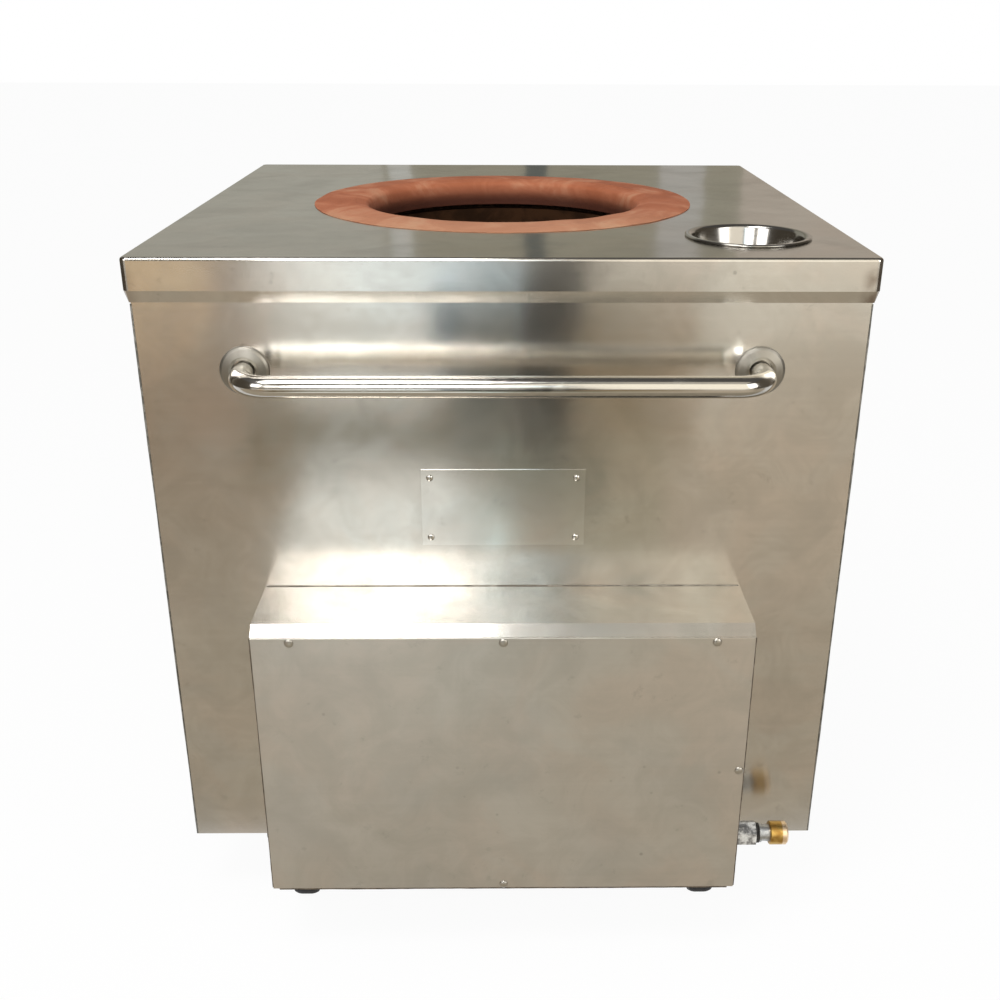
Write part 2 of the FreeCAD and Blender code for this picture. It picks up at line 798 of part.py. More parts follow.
def sweep(body, section, spine, edges):
    pipe = body.newObject("PartDesign::AdditivePipe", body.Name + "_pipe")
    pipe.Profile = section
    pipe.Spine = (spine, ["Edge%d" % n for n in range(1, edges + 1)])
    return pipe


def make_handle_flange(label, side):
    body = turned(label, "XY_Plane", [
        ("tube_radius + flange_gap", "0"),
        ("flange_radius", "0"),
        ("flange_radius", "-flange_edge",
         "flange_radius - 0.3 * flange_fold", "-(flange_edge + 0.7 * flange_fold)"),
        ("flange_radius - flange_fold", "-(flange_edge + flange_fold)"),
        ("tube_radius + flange_gap + flange_rim", "-flange_height"),
        ("tube_radius + flange_gap", "-0.8 * flange_height"),
    ])
    return place(body, side + " * handle_span / 2", "front_face", "handle_height")


def make_handle_fixings():
    """A plug and stud in each end of the tube, a backing sheet and a nut behind the wall."""
    reach = "(panel_sheet + backing_sheet + nut_height + thread_overrun)"
    studs, backings, nuts = [], [], []
    for side in ("-1", "1"):
        x = side + " * handle_span / 2"
        number = len(studs) + 1
        stud = turned("handle_stud_%d" % number, "XY_Plane", [
            ("0", "-plug_length"),
            ("tube_radius - tube_wall", "-plug_length"),
            ("tube_radius - tube_wall", "0"),
            ("stud_radius", "0"),
            ("stud_radius", reach),
            ("0", reach),
        ])
        studs.append(place(stud, x, "front_face", "handle_height"))
        backing = new_body("handle_backing_%d" % number)
        section = new_sketch(backing, "XZ_Plane")
        rectangle(section, "-backing_size / 2", "backing_size / 2", "-backing_size / 2", "backing_size / 2")
        circle(section, "stud_radius + running_gap")
        pad(backing, section, "backing_sheet", back=True)
        backings.append(place(backing, x, "front_face + panel_sheet", "handle_height"))
        nut = new_body("handle_nut_%d" % number)
        section = new_sketch(nut, "XZ_Plane")
        hexagon(section, "nut_flats")
        circle(section, "stud_radius + running_gap")
        pad(nut, section, "nut_height", back=True)
        nuts.append(place(nut, x, "front_face + panel_sheet + backing_sheet", "handle_height"))
    return [group("handle_studs", studs), group("handle_backings", backings), group("handle_nuts", nuts)]


def make_name_plate():
    body = new_body("name_plate")
    section = new_sketch(body, "XZ_Plane")
    rectangle(section, "-plate_width / 2", "plate_width / 2", "-plate_height / 2", "plate_height / 2")
    for across in ("-1", "1"):
        for along in ("-1", "1"):
            circle(section, "pin_radius + running_gap", across + " * (plate_width / 2 - pin_inset)",
                   along + " * (plate_height / 2 - pin_inset)")
    pad(body, section, "plate_sheet")
    return place(body, y="front_face", z="top_height - plate_drop")


def make_plate_pins():
    pins = []
    for across in ("-1", "1"):
        for along in ("-1", "1"):
            body = domed_pin("plate_pin_%d" % (len(pins) + 1), "pin_radius", "pin_head_radius",
                             "pin_head_height", "plate_sheet + panel_sheet + pin_tail")
            pins.append(place(body, across + " * (plate_width / 2 - pin_inset)", "front_face - plate_sheet",
                              "top_height - plate_drop + %s * (plate_height / 2 - pin_inset)" % along))
    return group("plate_pins", pins)


def domed_pin(label, shank, head, height, grip):
    """A pin or screw along Y with a pan head in front of the face that it holds."""
    return turned(label, "XY_Plane", [
        ("0", grip),
        (shank, grip),
        (shank, "0"),
        (head, "0"),
        (head, "-0.35 * " + height, "0.8 * " + head, "-0.8 * " + height),
        ("0.5 * " + head, "-" + height),
        ("0", "-" + height),
    ])


# ---- burner box ------------------------------------------------------------------------

def make_burner_hood():
    """Ledge, bevel and side walls folded from one sheet, open below and behind."""
    body = new_body("burner_hood")
    fold = "tan(22.5) * box_sheet"
    side = new_sketch(body, "YZ_Plane")
    outline(side, [("0", "ground_clearance"), ("0", "ledge_height"),
                   ("box_bevel - hood_depth", "ledge_height"),
                   ("-hood_depth", "ledge_height - box_bevel"),
                   ("-hood_depth", "ground_clearance")])
    pad(body, side, "box_width", side="Symmetric")
    cavity = new_sketch(body, "YZ_Plane")
    outline(cavity, [("-box_sheet", "ground_clearance - cut_margin"), ("-box_sheet", "ledge_height - box_sheet"),
                     ("box_bevel - hood_depth + " + fold, "ledge_height - box_sheet"),
                     ("box_sheet - hood_depth", "ledge_height - box_bevel - " + fold),
                     ("box_sheet - hood_depth", "ground_clearance - cut_margin")])
    pocket(body, cavity, "box_width - 2 * box_sheet", side="Symmetric")
    window = new_sketch(body, "XZ_Plane")
    rectangle(window, "box_flange - box_width / 2", "box_width / 2 - box_flange",
              "ground_clearance + box_flange", "cover_top - box_flange")
    pocket(body, window)
    back = new_sketch(body, "XZ_Plane", "-cut_margin")
    rectangle(back, "box_flange - box_width / 2", "box_width / 2 - box_flange",
              "ground_clearance - cut_margin", "cover_top - box_flange")
    pocket(body, back, "box_sheet + 2 * cut_margin", back=True)
    inlet = new_sketch(body, "YZ_Plane")
    circle(inlet, "pipe_radius + seat_gap", "-inlet_setout", "inlet_height")
    pocket(body, inlet, "box_width", back=True)
    for across, level in screw_places():
        holes = new_sketch(body, "XZ_Plane", "hood_depth - box_depth / 2")
        circle(holes, "screw_radius + running_gap", across, level)
        pocket(body, holes, "box_depth", back=True)
    return place(body, y="front_face")


def screw_places():
    """Three screws along the top of the cover, one at its right side and one below."""
    top = "cover_top - screw_edge"
    return [("-screw_span", top), ("0", top), ("screw_span", top),
            ("box_width / 2 - screw_edge", "ground_clearance + side_screw_rise"),
            ("0", "ground_clearance + screw_edge")]


def make_burner_cover():
    body = new_body("burner_cover")
    section = new_sketch(body, "XZ_Plane")
    rectangle(section, "-box_width / 2", "box_width / 2", "ground_clearance", "cover_top")
    for across, level in screw_places():
        circle(section, "screw_radius + running_gap", across, level)
    plate = pad(body, section, "cover_sheet")
    front = -size("cover_sheet")
    fillet(body, plate, "cover_edge_radius",
           lambda edge: edge.Curve.TypeId == "Part::GeomLine" and edge.BoundBox.YMax - front < 1e-5)
    return place(body, y="front_face - hood_depth")


def make_cover_screws():
    screws = []
    for across, level in screw_places():
        screw = domed_pin("cover_screw_%d" % (len(screws) + 1), "screw_radius", "screw_head_radius",
                          "screw_head_height", "screw_length")
        screws.append(place(screw, across, "front_face - box_depth", level))
    return group("cover_screws", screws)


# ---- gas train -------------------------------------------------------------------------

def make_inlet_pipe():
    """Pipe from the valve's socket through the hood's wall into the union."""
    start = "valve_start + valve_length - valve_socket"
    end = "union_start + union_length / 2"
    body = turned("inlet_pipe", "XY_Plane", [
        (start, "pipe_bore"), (end, "pipe_bore"), (end, "pipe_radius"), (start, "pipe_radius"),
    ], axis="H_Axis")
    return place(body, y="gas_y", z="inlet_height")


def make_inlet_union():
    body = new_body("inlet_union")
    section = new_sketch(body, "YZ_Plane")
    hexagon(section, "union_flats")
    circle(section, "pipe_radius + running_gap")
    pad(body, section, "union_length")
    return place(body, "union_start", "gas_y", "inlet_height")


def make_inlet_adapter():
    """Steel adapter: a spigot in the union, a collar, a sleeve and a spigot in the brass."""
    collar = "collar_length"
    sleeve = "(collar_length + sleeve_length)"
    body = turned("inlet_adapter", "XY_Plane", [
        ("-(adapter_gap + union_length / 2)", "pipe_bore"),
        (sleeve + " + spigot_length", "pipe_bore"),
        (sleeve + " + spigot_length", "spigot_radius"),
        (sleeve, "spigot_radius"),
        (sleeve, "sleeve_radius"),
        (collar, "sleeve_radius"),
        (collar, "collar_radius"),
        ("0", "collar_radius"),
        ("0", "pipe_radius"),
        ("-(adapter_gap + union_length / 2)", "pipe_radius"),
    ], axis="H_Axis")
    return place(body, "adapter_start", "gas_y", "inlet_height")


def make_brass_inlet():
    """Brass end with a chamfered nose, bored for the supply hose's fitting."""
    body = turned("brass_inlet", "XY_Plane", [
        ("0", "spigot_radius + running_gap"),
        ("spigot_length", "spigot_radius + running_gap"),
        ("spigot_length", "pipe_bore"),
        ("brass_length - inlet_bore_depth", "pipe_bore"),
        ("brass_length - inlet_bore_depth", "inlet_bore_radius"),
        ("brass_length", "inlet_bore_radius"),
        ("brass_length", "brass_radius - brass_chamfer"),
        ("brass_length - brass_chamfer", "brass_radius"),
        ("edge_break", "brass_radius"),
        ("0", "brass_radius - edge_break"),
    ], axis="H_Axis")
    return place(body, "brass_start", "gas_y", "inlet_height")


def make_valve_body():
    """Cast safety valve: knob boss and button guide in front, sockets at both ends."""
    body = new_body("valve_body")
    section = new_sketch(body, "XZ_Plane")
    rectangle(section, "0", "valve_length", "-valve_height / 2", "valve_height / 2")
    casting = pad(body, section, "valve_depth", side="Symmetric")
    fillet(body, casting, "valve_round", lambda edge: edge.BoundBox.XLength < 1e-6)
    for radius, across in (("0.7 * knob_radius", "knob_offset"), ("button_guide_radius", "button_offset")):
        boss = new_sketch(body, "XZ_Plane", "valve_depth / 2")
        circle(boss, radius, across + " - valve_start")
        pad(body, boss, "button_guide_length")
    stem = new_sketch(body, "XZ_Plane", "valve_depth / 2 + button_guide_length")
    circle(stem, "stem_radius", "knob_offset - valve_start")
    pad(body, stem, "stem_length")
    bore = new_sketch(body, "XZ_Plane", "valve_depth / 2 + button_guide_length")
    circle(bore, "button_radius + running_gap", "button_offset - valve_start")
    pocket(body, bore, "button_length")
    socket = new_sketch(body, "YZ_Plane", "valve_length")
    circle(socket, "pipe_radius + running_gap")
    pocket(body, socket, "valve_socket")
    outlet = new_sketch(body, "YZ_Plane")
    circle(outlet, "manifold_radius + running_gap", "-manifold_setback")
    pocket(body, outlet, "valve_socket", back=True)
    return place(body, "valve_start", "gas_y", "inlet_height")


def make_gas_knob():
    """Moulded knob, hollow behind, turned about the valve's stem."""
    body = turned("gas_knob", "XY_Plane", [
        ("stem_radius + running_gap", "0"),
        ("stem_radius + knob_wall", "0"),
        ("stem_radius + knob_wall", "-0.6 * knob_length"),
        ("0.6 * knob_radius", "-0.6 * knob_length"),
        ("0.6 * knob_radius", "-0.1 * knob_length"),
        ("0.9 * knob_radius", "-0.1 * knob_length"),
        ("0.9 * knob_radius", "0"),
        ("knob_radius", "0"),
        ("knob_radius", "-0.2 * knob_length"),
        ("0.85 * knob_radius", "-0.35 * knob_length"),
        ("0.8 * knob_radius", "knob_wall / 2 - knob_length"),
        ("0.7 * knob_radius", "-knob_length"),
        ("0", "-knob_length"),
        ("0", "-(stem_length + seat_gap)"),
        ("stem_radius + running_gap", "-(stem_length + seat_gap)"),
    ])
    flutes = new_sketch(body, "XZ_Plane", "0.35 * knob_length")
    circle(flutes, "0.22 * knob_radius", "0.95 * knob_radius")
    cut = pocket(body, flutes, "knob_length", back=True)
    polar(body, cut, flutes, 10)
    return place(body, "knob_offset", "gas_y - valve_depth / 2 - button_guide_length - seat_gap",
                 "inlet_height")


def make_pilot_button():
    body = turned("pilot_button", "XY_Plane", [
        ("0", "button_length - button_travel - edge_break"),
        ("button_radius", "button_length - button_travel - edge_break"),
        ("button_radius", "edge_break - button_length"),
        ("button_radius - edge_break", "-button_length"),
        ("0", "-button_length"),
    ])
    return place(body, "button_offset", "gas_y - valve_depth / 2 - button_guide_length", "inlet_height")


def make_manifold():
    """Outlet pipe from the valve, bent back to the orifice on the burner's axis."""
    body = new_body("manifold_pipe")
    spine = new_sketch(body, "XY_Plane")
    inset = "manifold_bend_radius * (1 - sqrt(0.5))"
    stations = [("valve_start + valve_socket", "-manifold_setback"),
                ("manifold_bend_radius", "-manifold_setback"),
                ("0", "manifold_bend_radius - manifold_setback"),
                ("0", "inlet_setout - orifice_setout + orifice_length / 2")]
    path(spine, stations, {1: (inset, inset + " - manifold_setback")})
    section = new_sketch(body, "YZ_Plane", "valve_start + valve_socket")
    circle(section, "manifold_radius", "-manifold_setback")
    circle(section, "manifold_radius - manifold_wall", "-manifold_setback")
    sweep(body, section, spine, len(stations) - 1)
    return place(body, y="gas_y", z="inlet_height")


def make_orifice():
    body = new_body("gas_orifice")
    section = new_sketch(body, "XZ_Plane")
    hexagon(section, "orifice_flats")
    circle(section, "manifold_radius + running_gap")
    pad(body, section, "orifice_length / 2", back=True)
    nose = new_sketch(body, "XZ_Plane", "-orifice_length / 2")
    hexagon(nose, "orifice_flats")
    circle(nose, "manifold_wall")
    pad(body, nose, "orifice_length / 2", back=True)
    nozzle = new_sketch(body, "XZ_Plane", "-orifice_length")
    circle(nozzle, "nozzle_radius")
    circle(nozzle, "manifold_wall")
    pad(body, nozzle, "nozzle_length", back=True)
    return place(body, y="front_face - orifice_setout", z="inlet_height")


# ---- burner ----------------------------------------------------------------------------

def make_air_shutter():
    """A cap that turns on the mixing tube's mouth, with windows that meter the air."""
    body = turned("air_shutter", "XY_Plane", [
        ("nozzle_radius + seat_gap", "-(seat_gap + shutter_sheet)"),
        ("mixer_mouth_radius + running_gap + shutter_sheet", "-(seat_gap + shutter_sheet)"),
        ("mixer_mouth_radius + running_gap + shutter_sheet", "shutter_skirt"),
        ("mixer_mouth_radius + running_gap", "shutter_skirt"),
        ("mixer_mouth_radius + running_gap", "-seat_gap"),
        ("nozzle_radius + seat_gap", "-seat_gap"),
    ])
    window = new_sketch(body, "XZ_Plane")
    circle(window, "shutter_window_radius", "shutter_pitch_radius")
    cut = pocket(body, window)
    polar(body, cut, window, 6)
    return place(body, y="front_face - mixer_setout", z="inlet_height")


def make_mixing_tube():
    """Venturi: a straight mouth for the shutter, a throat, and a long tube to the head."""
    end = "mixer_setout - front_face - head_radius + head_wall"
    body = turned("mixing_tube", "XY_Plane", [
        ("mixer_mouth_radius", "0"),
        ("mixer_mouth_radius", "shutter_skirt"),
        ("mixer_throat_radius", "3 * shutter_skirt"),
        ("mixer_radius", "8 * shutter_skirt"),
        ("mixer_radius", end),
        ("mixer_radius - mixer_wall", end),
        ("mixer_radius - mixer_wall", "8 * shutter_skirt"),
        ("mixer_throat_radius - mixer_wall", "3 * shutter_skirt"),
        ("mixer_mouth_radius - mixer_wall", "shutter_skirt"),
        ("mixer_mouth_radius - mixer_wall", "0"),
    ])
    return place(body, y="front_face - mixer_setout", z="inlet_height")


def make_burner_head():
    """Cast head on a pedestal, with a socket for the tube and a ring of flame ports."""
    floor = "(floor_top - inlet_height)"
    body = turned("burner_head", "XZ_Plane", [
        ("0", floor),
        ("pedestal_radius", floor),
        ("pedestal_radius", "-head_height / 2"),
        ("head_radius", "-head_height / 2"),
        ("head_radius", "0.25 * head_height"),
        ("0.75 * head_radius", "head_height / 2"),
        ("0", "head_height / 2"),
        ("0", "head_height / 2 - head_wall"),
        ("0.72 * head_radius", "head_height / 2 - head_wall"),
        ("head_radius - head_wall", "0.2 * head_height"),
        ("head_radius - head_wall", "head_wall - head_height / 2"),
        ("0", "head_wall - head_height / 2"),
    ])
    socket = new_sketch(body, "XZ_Plane")
    circle(socket, "mixer_radius + running_gap")
    pocket(body, socket, "head_radius + cut_margin", back=True)
    port = new_sketch(body, "XY_Plane")
    circle(port, "head_port_radius", "head_port_pitch")
    cut = pocket(body, port, "head_height", back=True)
    polar(body, cut, port, 18)
    return place(body, z="inlet_height")


def make_flame_spreader():
    """Dished plate on three legs that stand on the pot's foot."""
    body = turned("flame_spreader", "XZ_Plane", [
        ("0", "spreader_leg + spreader_rise"),
        ("spreader_radius", "spreader_leg"),
        ("spreader_radius", "spreader_leg + spreader_sheet"),
        ("0", "spreader_leg + spreader_rise + spreader_sheet"),
    ])
    leg = new_sketch(body, "XY_Plane")
    circle(leg, "spreader_leg_radius", "spreader_leg_pitch")
    post = pad(body, leg, "spreader_leg + spreader_rise * (1 - spreader_leg_pitch / spreader_radius)"
               " + spreader_sheet / 2")
    polar(body, post, leg, 3)
    return place(body, z="pot_foot + pot_wall")


def make_pilot():
    """Pilot nozzle and thermocouple probe on one foot beside the burner head."""
    foot = block("pilot_foot", "pilot_offset - probe_pitch", "-probe_pitch", "floor_top",
                 "3 * probe_pitch", "2 * probe_pitch", "pot_wall / 2")
    rods = [foot]
    for label, across, radius in (("pilot_nozzle", "0", "pilot_radius"), ("pilot_probe", "probe_pitch", "probe_radius")):
        rod = doc.addObject("Part::Cylinder", label)
        bind(rod, Radius=radius, Height="pilot_height - pot_wall / 2")
        rods.append(place(rod, "pilot_offset + " + across, "0", "floor_top + pot_wall / 2"))
    joined = doc.addObject("Part::MultiFuse", "pilot_burner")
    joined.Label = "pilot_burner"
    joined.Shapes = rods
    return joined


# ---- casters ---------------------------------------------------------------------------

CORNERS = [("front_left", "-1", "-1"), ("front_right", "1", "-1"), ("rear_left", "-1", "1"), ("rear_right", "1", "1")]


def at_caster(thing, across, along):
    return place(thing, across + " * caster_offset", along + " * caster_spread")


def make_caster_plates():
    """Top plates with the race and the kingpin that the forks turn on, and their bolts."""
    plates, bolts = [], []
    for name, across, along in CORNERS:
        body = new_body("caster_plate_" + name)
        section = new_sketch(body, "XY_Plane", "caster_height - caster_plate_sheet")
        rectangle(section, "-caster_plate_width / 2", "caster_plate_width / 2",
                  "-caster_plate_depth / 2", "caster_plate_depth / 2")
        pad(body, section, "caster_plate_sheet")
        race = new_sketch(body, "XZ_Plane")
        low = "caster_height - caster_plate_sheet - race_height"
        neck = "fork_top - fork_sheet - seat_gap"
        outline(race, [("0", neck + " - kingpin_head_height"),
                       ("kingpin_head_radius", neck + " - kingpin_head_height"),
                       ("kingpin_head_radius", neck),
                       ("kingpin_radius", neck),
                       ("kingpin_radius", low),
                       ("race_radius - race_height / 2", low),
                       ("race_radius", "caster_height - caster_plate_sheet"),
                       ("0", "caster_height - caster_plate_sheet")])
        revolve(body, race)
        plates.append(at_caster(body, across, along))
        for bolt_x in ("-1", "1"):
            for bolt_y in ("-1", "1"):
                bolts.append(make_caster_bolt(len(bolts) + 1, across, along, bolt_x, bolt_y))
    return [group("caster_plates", plates), group("caster_bolts", bolts)]


def make_caster_bolt(number, across, along, bolt_x, bolt_y):
    """A hexagon head under the plate."""
    body = new_body("caster_bolt_%d" % number)
    section = new_sketch(body, "XY_Plane")
    hexagon(section, "2 * bolt_head_radius")
    pad(body, section, "bolt_head_height", back=True)
    return place(body, "%s * caster_offset + %s * bolt_pitch_width / 2" % (across, bolt_x),
                 "%s * caster_spread + %s * bolt_pitch_depth / 2" % (along, bolt_y),
                 "caster_height - caster_plate_sheet")


def make_caster(name, across, along):
    """Fork, wheel and axle of one caster, trailing towards the front."""
    fork = new_body("caster_fork_" + name)
    side = new_sketch(fork, "YZ_Plane")
    outline(side, [("race_radius", "fork_top"),
                   ("-race_radius", "fork_top"),
                   ("-wheel_trail - fork_boss_radius", "wheel_radius + fork_sheet",
                    "-wheel_trail", "wheel_radius - fork_boss_radius"),
                   ("fork_boss_radius - wheel_trail", "wheel_radius"),
                   ("race_radius", "fork_top - 3 * fork_sheet")])
    pad(fork, side, "fork_outer", side="Symmetric")
    gap = new_sketch(fork, "YZ_Plane")
    rectangle(gap, "-2 * wheel_radius - wheel_trail", "2 * race_radius", "0", "fork_top - fork_sheet")
    pocket(fork, gap, "fork_inner", side="Symmetric")
    holes = new_sketch(fork, "YZ_Plane")
    circle(holes, "axle_radius + running_gap", "-wheel_trail", "wheel_radius")
    pocket(fork, holes)
    pivot = new_sketch(fork, "XY_Plane")
    circle(pivot, "kingpin_radius + running_gap")
    pocket(fork, pivot)
    at_caster(fork, across, along)

    hub = "wheel_width / 2 + hub_proud"
    tread = "(wheel_width / 2)"
    crown = "wheel_radius - wheel_crown"
    recess = "(wheel_width / 2 - web_recess)"
    wheel = turned("caster_wheel_" + name, "XY_Plane", [
        ("-(%s)" % hub, "axle_radius + running_gap"),
        (hub, "axle_radius + running_gap"),
        (hub, "hub_radius"),
        (recess, "hub_radius + edge_break"),
        (recess, "web_radius - edge_break"),
        (tread, "web_radius"),
        (tread, crown, "0.72 * " + tread, "wheel_radius - 0.3 * wheel_crown"),
        ("0.3 * " + tread, "wheel_radius"),
        ("-0.3 * " + tread, "wheel_radius",
         "-0.72 * " + tread, "wheel_radius - 0.3 * wheel_crown"),
        ("-" + tread, crown),
        ("-" + tread, "web_radius"),
        ("-" + recess, "web_radius - edge_break"),
        ("-" + recess, "hub_radius + edge_break"),
        ("-(%s)" % hub, "hub_radius"),
    ], axis="H_Axis")
    axle = turned("caster_axle_" + name, "XY_Plane", [
        ("-(fork_outer / 2 + axle_head_height)", "0"),
        ("fork_outer / 2 + axle_head_height", "0"),
        ("fork_outer / 2 + axle_head_height", "axle_head_radius - edge_break"),
        ("fork_outer / 2 + axle_head_height - edge_break", "axle_head_radius"),
        ("fork_outer / 2", "axle_head_radius"),
        ("fork_outer / 2", "axle_radius"),
        ("-fork_outer / 2", "axle_radius"),
        ("-fork_outer / 2", "axle_head_radius"),
        ("-(fork_outer / 2 + axle_head_height - edge_break)", "axle_head_radius"),
        ("-(fork_outer / 2 + axle_head_height)", "axle_head_radius - edge_break"),
    ], axis="H_Axis")
    for turning in (wheel, axle):
        place(turning, across + " * caster_offset", along + " * caster_spread - wheel_trail", "wheel_radius")
    return [fork, wheel, axle]


# ---- assembly --------------------------------------------------------------------------

def build():
    nodes = [
        make_top_cover(),
        make_mouth_ring(),
        make_mouth_rope(),
        make_water_bowl(),
        make_front_panel(),
        make_side_panel("left_panel", "-1"),
        make_side_panel("right_panel", "1"),
        make_back_panel(),
        make_base_frame(),
        make_angle_frame("top_frame", "panel_top", True),
        make_corner_posts(),
        make_rail("left_rail", "-1"),
        make_rail("right_rail", "1"),
        make_floor_sheet(),
        make_drum(),
        make_pot(),
        make_lagging(),
        make_stand(),
        make_wool(),
        make_handle_bar(),
        make_handle_flange("left_handle_flange", "-1"),
        make_handle_flange("right_handle_flange", "1"),
        make_name_plate(),
        make_plate_pins(),
        make_burner_hood(),
        make_burner_cover(),
        make_cover_screws(),
        make_inlet_pipe(),
        make_inlet_union(),
        make_inlet_adapter(),
        make_brass_inlet(),
        make_valve_body(),
        make_gas_knob(),
        make_pilot_button(),
        make_manifold(),
        make_orifice(),
        make_air_shutter(),
        make_mixing_tube(),
        make_burner_head(),
        make_flame_spreader(),
        make_pilot(),
    ]
    nodes += make_handle_fixings()
    nodes += make_caster_plates()
    for name, across, along in CORNERS:
        nodes += make_caster(name, across, along)
    return nodes


def check_document():
    """Stop on any object that failed to compute."""
    failed = [thing.Label for thing in doc.Objects if {"Invalid", "Error"} & set(thing.State)]
    if failed:
        raise RuntimeError("failed: " + ", ".join(failed))


def export(nodes):
    os.makedirs("parts", exist_ok=True)
    for node in nodes:
        if node.Shape.isNull() or not node.Shape.isValid():
            raise RuntimeError("bad shape: " + node.Label)
    for node in nodes:
        node.Shape.exportStep("parts/%s.step" % node.Label)


parts = build()
doc.recompute()
check_document()
export(parts)
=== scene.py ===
import json
import math

import bpy
import numpy as np
from mathutils import Matrix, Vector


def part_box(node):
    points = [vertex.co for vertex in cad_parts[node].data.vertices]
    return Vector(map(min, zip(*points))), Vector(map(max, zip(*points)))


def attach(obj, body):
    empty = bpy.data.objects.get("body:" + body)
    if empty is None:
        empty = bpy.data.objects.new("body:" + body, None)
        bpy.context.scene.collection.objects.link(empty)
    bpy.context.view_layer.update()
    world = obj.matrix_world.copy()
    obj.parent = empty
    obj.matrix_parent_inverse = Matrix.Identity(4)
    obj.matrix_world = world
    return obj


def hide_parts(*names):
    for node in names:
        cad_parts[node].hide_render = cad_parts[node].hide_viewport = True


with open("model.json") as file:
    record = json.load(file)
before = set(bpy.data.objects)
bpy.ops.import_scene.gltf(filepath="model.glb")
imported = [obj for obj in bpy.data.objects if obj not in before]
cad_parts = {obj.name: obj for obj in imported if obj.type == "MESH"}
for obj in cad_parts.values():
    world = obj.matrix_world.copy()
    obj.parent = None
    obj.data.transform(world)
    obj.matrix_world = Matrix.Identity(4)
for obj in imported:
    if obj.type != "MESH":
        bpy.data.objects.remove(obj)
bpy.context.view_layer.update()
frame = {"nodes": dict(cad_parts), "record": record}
slots = {part["node"]: part["material_slot"] for part in frame["record"]["subparts"]}


# Materials are written as sums of fields. A field is one output of a node,
# and arithmetic on it adds the Math node that does the same.
class Field:
    """One varying value or colour inside a material."""

    def __init__(self, finish, socket):
        self.finish = finish
        self.socket = socket

    def math(self, operation, first, second):
        return self.finish.node("ShaderNodeMath", [first, second], operation=operation)

    def __add__(self, other):
        return self.math("ADD", self, other)

    def __sub__(self, other):
        return self.math("SUBTRACT", self, other)

    def __mul__(self, other):
        return self.math("MULTIPLY", self, other)

    def ramp(self, low, high):
        """0 below low, 1 above high and smooth between; high may be the smaller."""
        inputs = {"Value": self, "From Min": low, "From Max": high}
        return self.finish.node("ShaderNodeMapRange", inputs, interpolation_type="SMOOTHSTEP")

    def mix(self, start, end):
        """The colour that goes from start, where this field is 0, to end, where it is 1."""
        inputs = {0: self, 6: start, 7: end}
        return self.finish.node("ShaderNodeMix", inputs, output=2, data_type="RGBA")


class Finish:
    """A material whose patterns lie in object coordinates, in metres."""

    def __init__(self, name, **constants):
        self.material = bpy.data.materials.new(name)
        self.material.use_nodes = True
        self.tree = self.material.node_tree
        self.shader = self.tree.nodes["Principled BSDF"]
        self.place = self.node("ShaderNodeTexCoord", output="Object")
        self.normal = None
        for socket, value in constants.items():
            self.set(socket.replace("_", " ").title().replace("Ior", "IOR"), value)

    def node(self, kind, inputs=(), output=0, **settings):
        """Adds a node. Inputs are fields or constants, in a list or by socket name or number."""
        made = self.tree.nodes.new(kind)
        for setting, value in settings.items():
            setattr(made, setting, value)
        entries = inputs.items() if isinstance(inputs, dict) else enumerate(inputs)
        for key, value in entries:
            self.feed(made.inputs[key], value)
        return Field(self, made.outputs[output])

    def feed(self, socket, value):
        if isinstance(value, Field):
            self.tree.links.new(value.socket, socket)
        elif socket.type == "RGBA":
            socket.default_value = (*value, 1.0)
        else:
            socket.default_value = value

    def set(self, socket, value):
        self.feed(self.shader.inputs[socket], value)

    def axis(self, name):
        """The object coordinate along X, Y or Z."""
        return self.node("ShaderNodeSeparateXYZ", [self.place], output=name)

    def scaled(self, scale, shift=0.0):
        """Object coordinates in features instead of metres; scale has one number for each axis."""
        inputs = [self.place, np.broadcast_to(scale, 3), (shift, shift, shift)]
        return self.node("ShaderNodeVectorMath", inputs, operation="MULTIPLY_ADD")

    def noise(self, scale, detail=3.0, roughness=0.5, distortion=0.0, shift=0.0):
        """Cloudy noise about 0.5, with scale features to the metre."""
        inputs = {
            "Vector": self.scaled(scale, shift),
            "Scale": 1.0,
            "Detail": detail,
            "Roughness": roughness,
            "Distortion": distortion,
        }
        return self.node("ShaderNodeTexNoise", inputs)

    def cells(self, scale):
        """Distance to the nearest of scattered points, with scale points to the metre."""
        inputs = {"Vector": self.scaled(scale), "Scale": 1.0}
        return self.node("ShaderNodeTexVoronoi", inputs, output="Distance")

    def relief(self, height, depth):
        """Raises the surface by depth metres from where height is 0 to where it is 1."""
        inputs = {"Height": height, "Distance": depth}
        if self.normal is not None:
            inputs["Normal"] = self.normal
        self.normal = self.node("ShaderNodeBump", inputs, output="Normal")
        self.set("Normal", self.normal)


# Meshes are grids of points that a formula gives, joined into skins. Lengths
# are in metres, and angles go round in equal steps.
def unit(vectors):
    return vectors / np.linalg.norm(vectors, axis=-1, keepdims=True)


def rounded(corners, radius, steps=8):
    """A line through corners with an arc at each: from the arc's centre, the arm
    turns from the arc's start to its end, as sin((1-t)a) start + sin(ta) end over sin(a)."""
    corners = np.array(corners, float)
    radius = np.broadcast_to(radius, len(corners) - 2)[:, None, None]
    back = unit(corners[:-2] - corners[1:-1])[:, None]
    ahead = unit(corners[2:] - corners[1:-1])[:, None]
    turn = np.pi - np.arccos((back * ahead).sum(axis=2, keepdims=True))
    start = radius * np.tan(turn / 2) * back
    end = radius * np.tan(turn / 2) * ahead
    centre = radius / np.cos(turn / 2) * unit(back + ahead)
    t = np.linspace(0, 1, steps)[None, :, None]
    arm = np.sin((1 - t) * turn) * (start - centre) + np.sin(t * turn) * (end - centre)
    arcs = corners[1:-1, None] + centre + arm / np.sin(turn)
    return np.concatenate([corners[:1], arcs.reshape(-1, corners.shape[1]), corners[-1:]])


def circle(around):
    return np.linspace(0, 2 * np.pi, around, endpoint=False)


